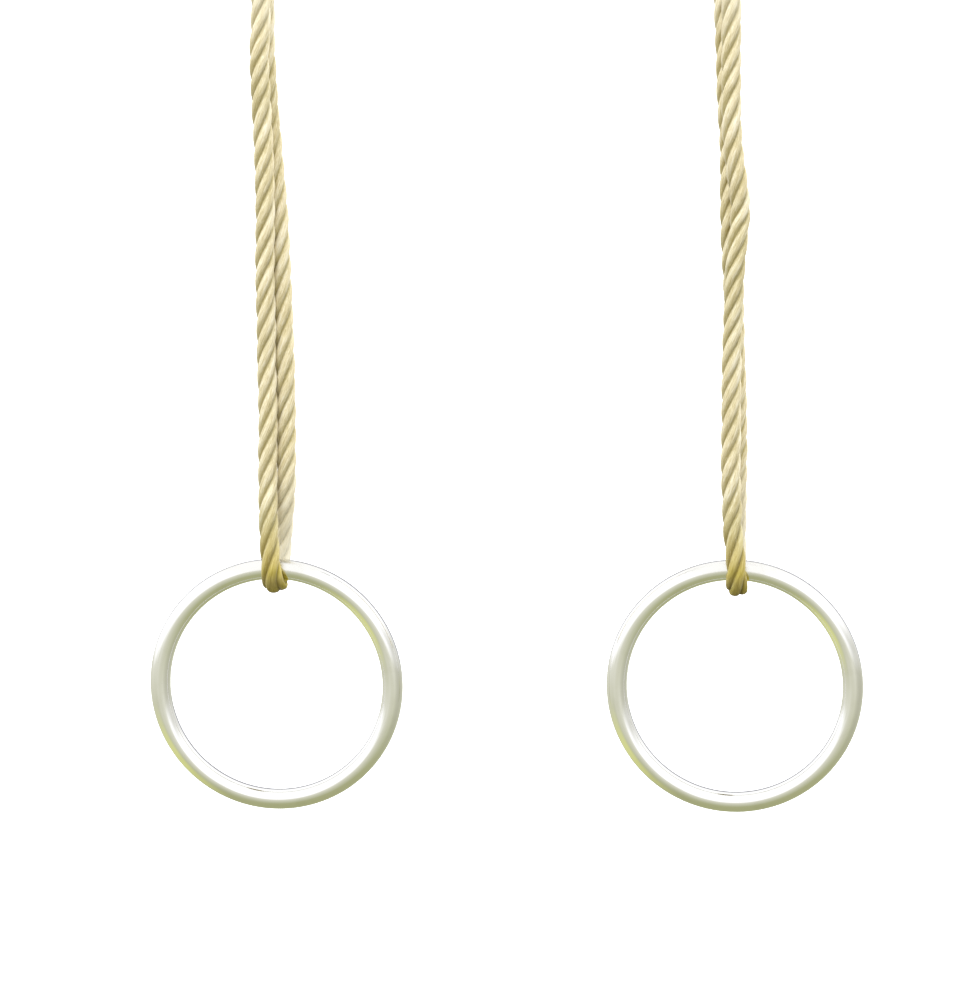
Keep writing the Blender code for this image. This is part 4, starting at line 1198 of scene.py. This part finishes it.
# The stained colour is both the stain and the painted shade under the bend
HEMP = fibre_finish(
    "hemp",
    dark=(0.50, 0.42, 0.21, 1),
    middle=(0.74, 0.65, 0.40, 1),
    light=(0.92, 0.87, 0.70, 1),
    groove=(0.36, 0.30, 0.10, 1),
    stained=(0.68, 0.62, 0.07, 1),
)
HAIR = hair_finish()
hemp_section = strand_section(STRANDS, STRAND_MIDDLE, STRAND_DEPTH, STRAND_WIDTH, STRAND_POINTS)
hair_root = STRAND_MIDDLE + STRAND_DEPTH * 0.9
ropes, rope_paths, rope_hairs = {}, {}, {}
for number, (side, x) in enumerate(SIDE_X.items()):
    line = smooth_line(rope_route(LEGS[side]), LINE_STEP) + (x, 0, 0)
    turns = strand_turns(line, STRAND_TURNS[side], TURN_UNDER_BAR[side])
    mesh, middle = laid("laid_rope", line, STRANDS, hemp_section, ROPE_LAY, turns,
                        BIGHT_PRESSED[side], RUBBED_AT[side])
    ropes[side] = fit(f"laid_rope_{side}", mesh, HEMP, f"rope_{side}",
                      stands_for=[f"rope_{side}"])
    rope_paths[side] = middle
    hairs = loose_fibres("loose_fibres", middle, hair_root, HAIR_COUNT, HAIR_SEED + number)
    rope_hairs[side] = fit(f"loose_fibres_{side}", hairs, HAIR, f"rope_{side}")


# Seizings: six turns of tarred twine, laid in three strands, bind the rope's two legs together
# under the thimble's throat and cover the splice.
TWINE_RADIUS = 0.0022
TWINE_SLACK = 0.0004
TWINE_STEP = 0.0049
TWINE_LAY = 0.0135
TWINE_START = 0.4
TWINE_STRANDS = 3
TWINE_STRAND_MIDDLE = 0.00115
TWINE_STRAND_DEPTH = 0.00105
TWINE_STRAND_WIDTH = 0.00125
SEIZING_TURNS = 6
TURN_STEPS = 96


def seizing_line():
    """Loops round both legs: two half circles joined by straight runs, falling steadily."""
    corner = ROPE_RADIUS + TWINE_SLACK + TWINE_RADIUS
    half_circle = math.pi * corner
    length = 2 * (2 * LEG_MIDDLE + half_circle)
    points = []
    for step in range(SEIZING_TURNS * TURN_STEPS + 1):
        along = length * (step % TURN_STEPS) / TURN_STEPS
        back, along = (1, along) if along < length / 2 else (-1, along - length / 2)
        if along < half_circle:
            turn = along / corner
            x, y = corner * math.cos(turn), LEG_MIDDLE + corner * math.sin(turn)
        else:
            x, y = -corner, LEG_MIDDLE - (along - half_circle)
        points.append((back * x, back * y, SEIZING_TOP - TWINE_RADIUS - TWINE_STEP * step / TURN_STEPS))
    return np.array(points)


TWINE = fibre_finish(
    "tarred_twine",
    dark=(0.27, 0.19, 0.09, 1),
    middle=(0.46, 0.35, 0.19, 1),
    light=(0.62, 0.50, 0.31, 1),
    groove=(0.16, 0.11, 0.05, 1),
    stained=(0.3, 0.2, 0.1, 1),
)
twine_section = strand_section(TWINE_STRANDS, TWINE_STRAND_MIDDLE, TWINE_STRAND_DEPTH,
                               TWINE_STRAND_WIDTH, 9)
for side, x in SIDE_X.items():
    mesh, _ = laid("seizing_twine", seizing_line() + (x, 0, 0), TWINE_STRANDS, twine_section,
                   TWINE_LAY, TWINE_START)
    twine = fit(f"seizing_twine_{side}", mesh, TWINE, f"rope_{side}",
                stands_for=[f"seizing_{side}"])


# Rings: each is a round steel bar bent to a circle, its ends welded, ground flush and polished all
# over, so that no joint shows. It hangs loose in the rope's bend, which has dulled it at the top.
RING_RADIUS = RING_HIGH.z - RING_MIDDLE_Z - BAR_RADIUS
RING_STEPS = 320
BAR_SIDES = 56
DULLED_BELOW = 0.006
DULLED_ABOVE = 0.002
STEEL_BRIGHT = (0.90, 0.90, 0.89, 1)
STEEL_DULLED = (0.76, 0.75, 0.70, 1)


def steel_ring():
    """A circle of round bar about the middle of the ring, in the XZ plane."""
    around = math.tau * np.arange(RING_STEPS) / RING_STEPS
    about = math.tau * np.arange(BAR_SIDES) / BAR_SIDES
    out = RING_RADIUS + BAR_RADIUS * np.cos(about)[None]
    deep = BAR_RADIUS * np.sin(about)[None] + 0 * around[:, None]
    points = np.stack([out * np.sin(around)[:, None], deep, out * np.cos(around)[:, None]], axis=2)
    return together("steel_ring", [(skin("bent_bar", points.tolist(), endless=True), HERE)])


def polished_finish():
    """Mirror-polished steel with faint wipe marks, dulled where the rope bears on it."""
    made, shade = new_finish("polished_steel")
    place = shade.node("TexCoord", out="Object")
    height = shade.node("SeparateXYZ", {}, {0: place}, out=2)
    dulled = height.between(RING_RADIUS - DULLED_BELOW, RING_RADIUS + DULLED_ABOVE)
    smear = shade.noise(place, 38, 4, Distortion=1.2).between(0.45, 0.75)
    marks = shade.noise(place, 1400, 2)
    colour = (dulled * 0.5 + smear * 0.25).mix(STEEL_BRIGHT, STEEL_DULLED)
    bump = shade.node("Bump", {}, {"Strength": 0.04, "Distance": 0.00005, "Height": marks})
    roughness = 0.035 + 0.05 * smear + 0.22 * dulled
    shade.paint(Base_Color=colour, Roughness=roughness, Metallic=1.0, Normal=bump)
    return made


POLISHED = polished_finish()
ring_mesh = steel_ring()
for side, x in SIDE_X.items():
    fit(f"steel_ring_{side}", ring_mesh, POLISHED, f"ring_{side}",
        (x, 0, RING_MIDDLE_Z), [f"ring_{side}"])
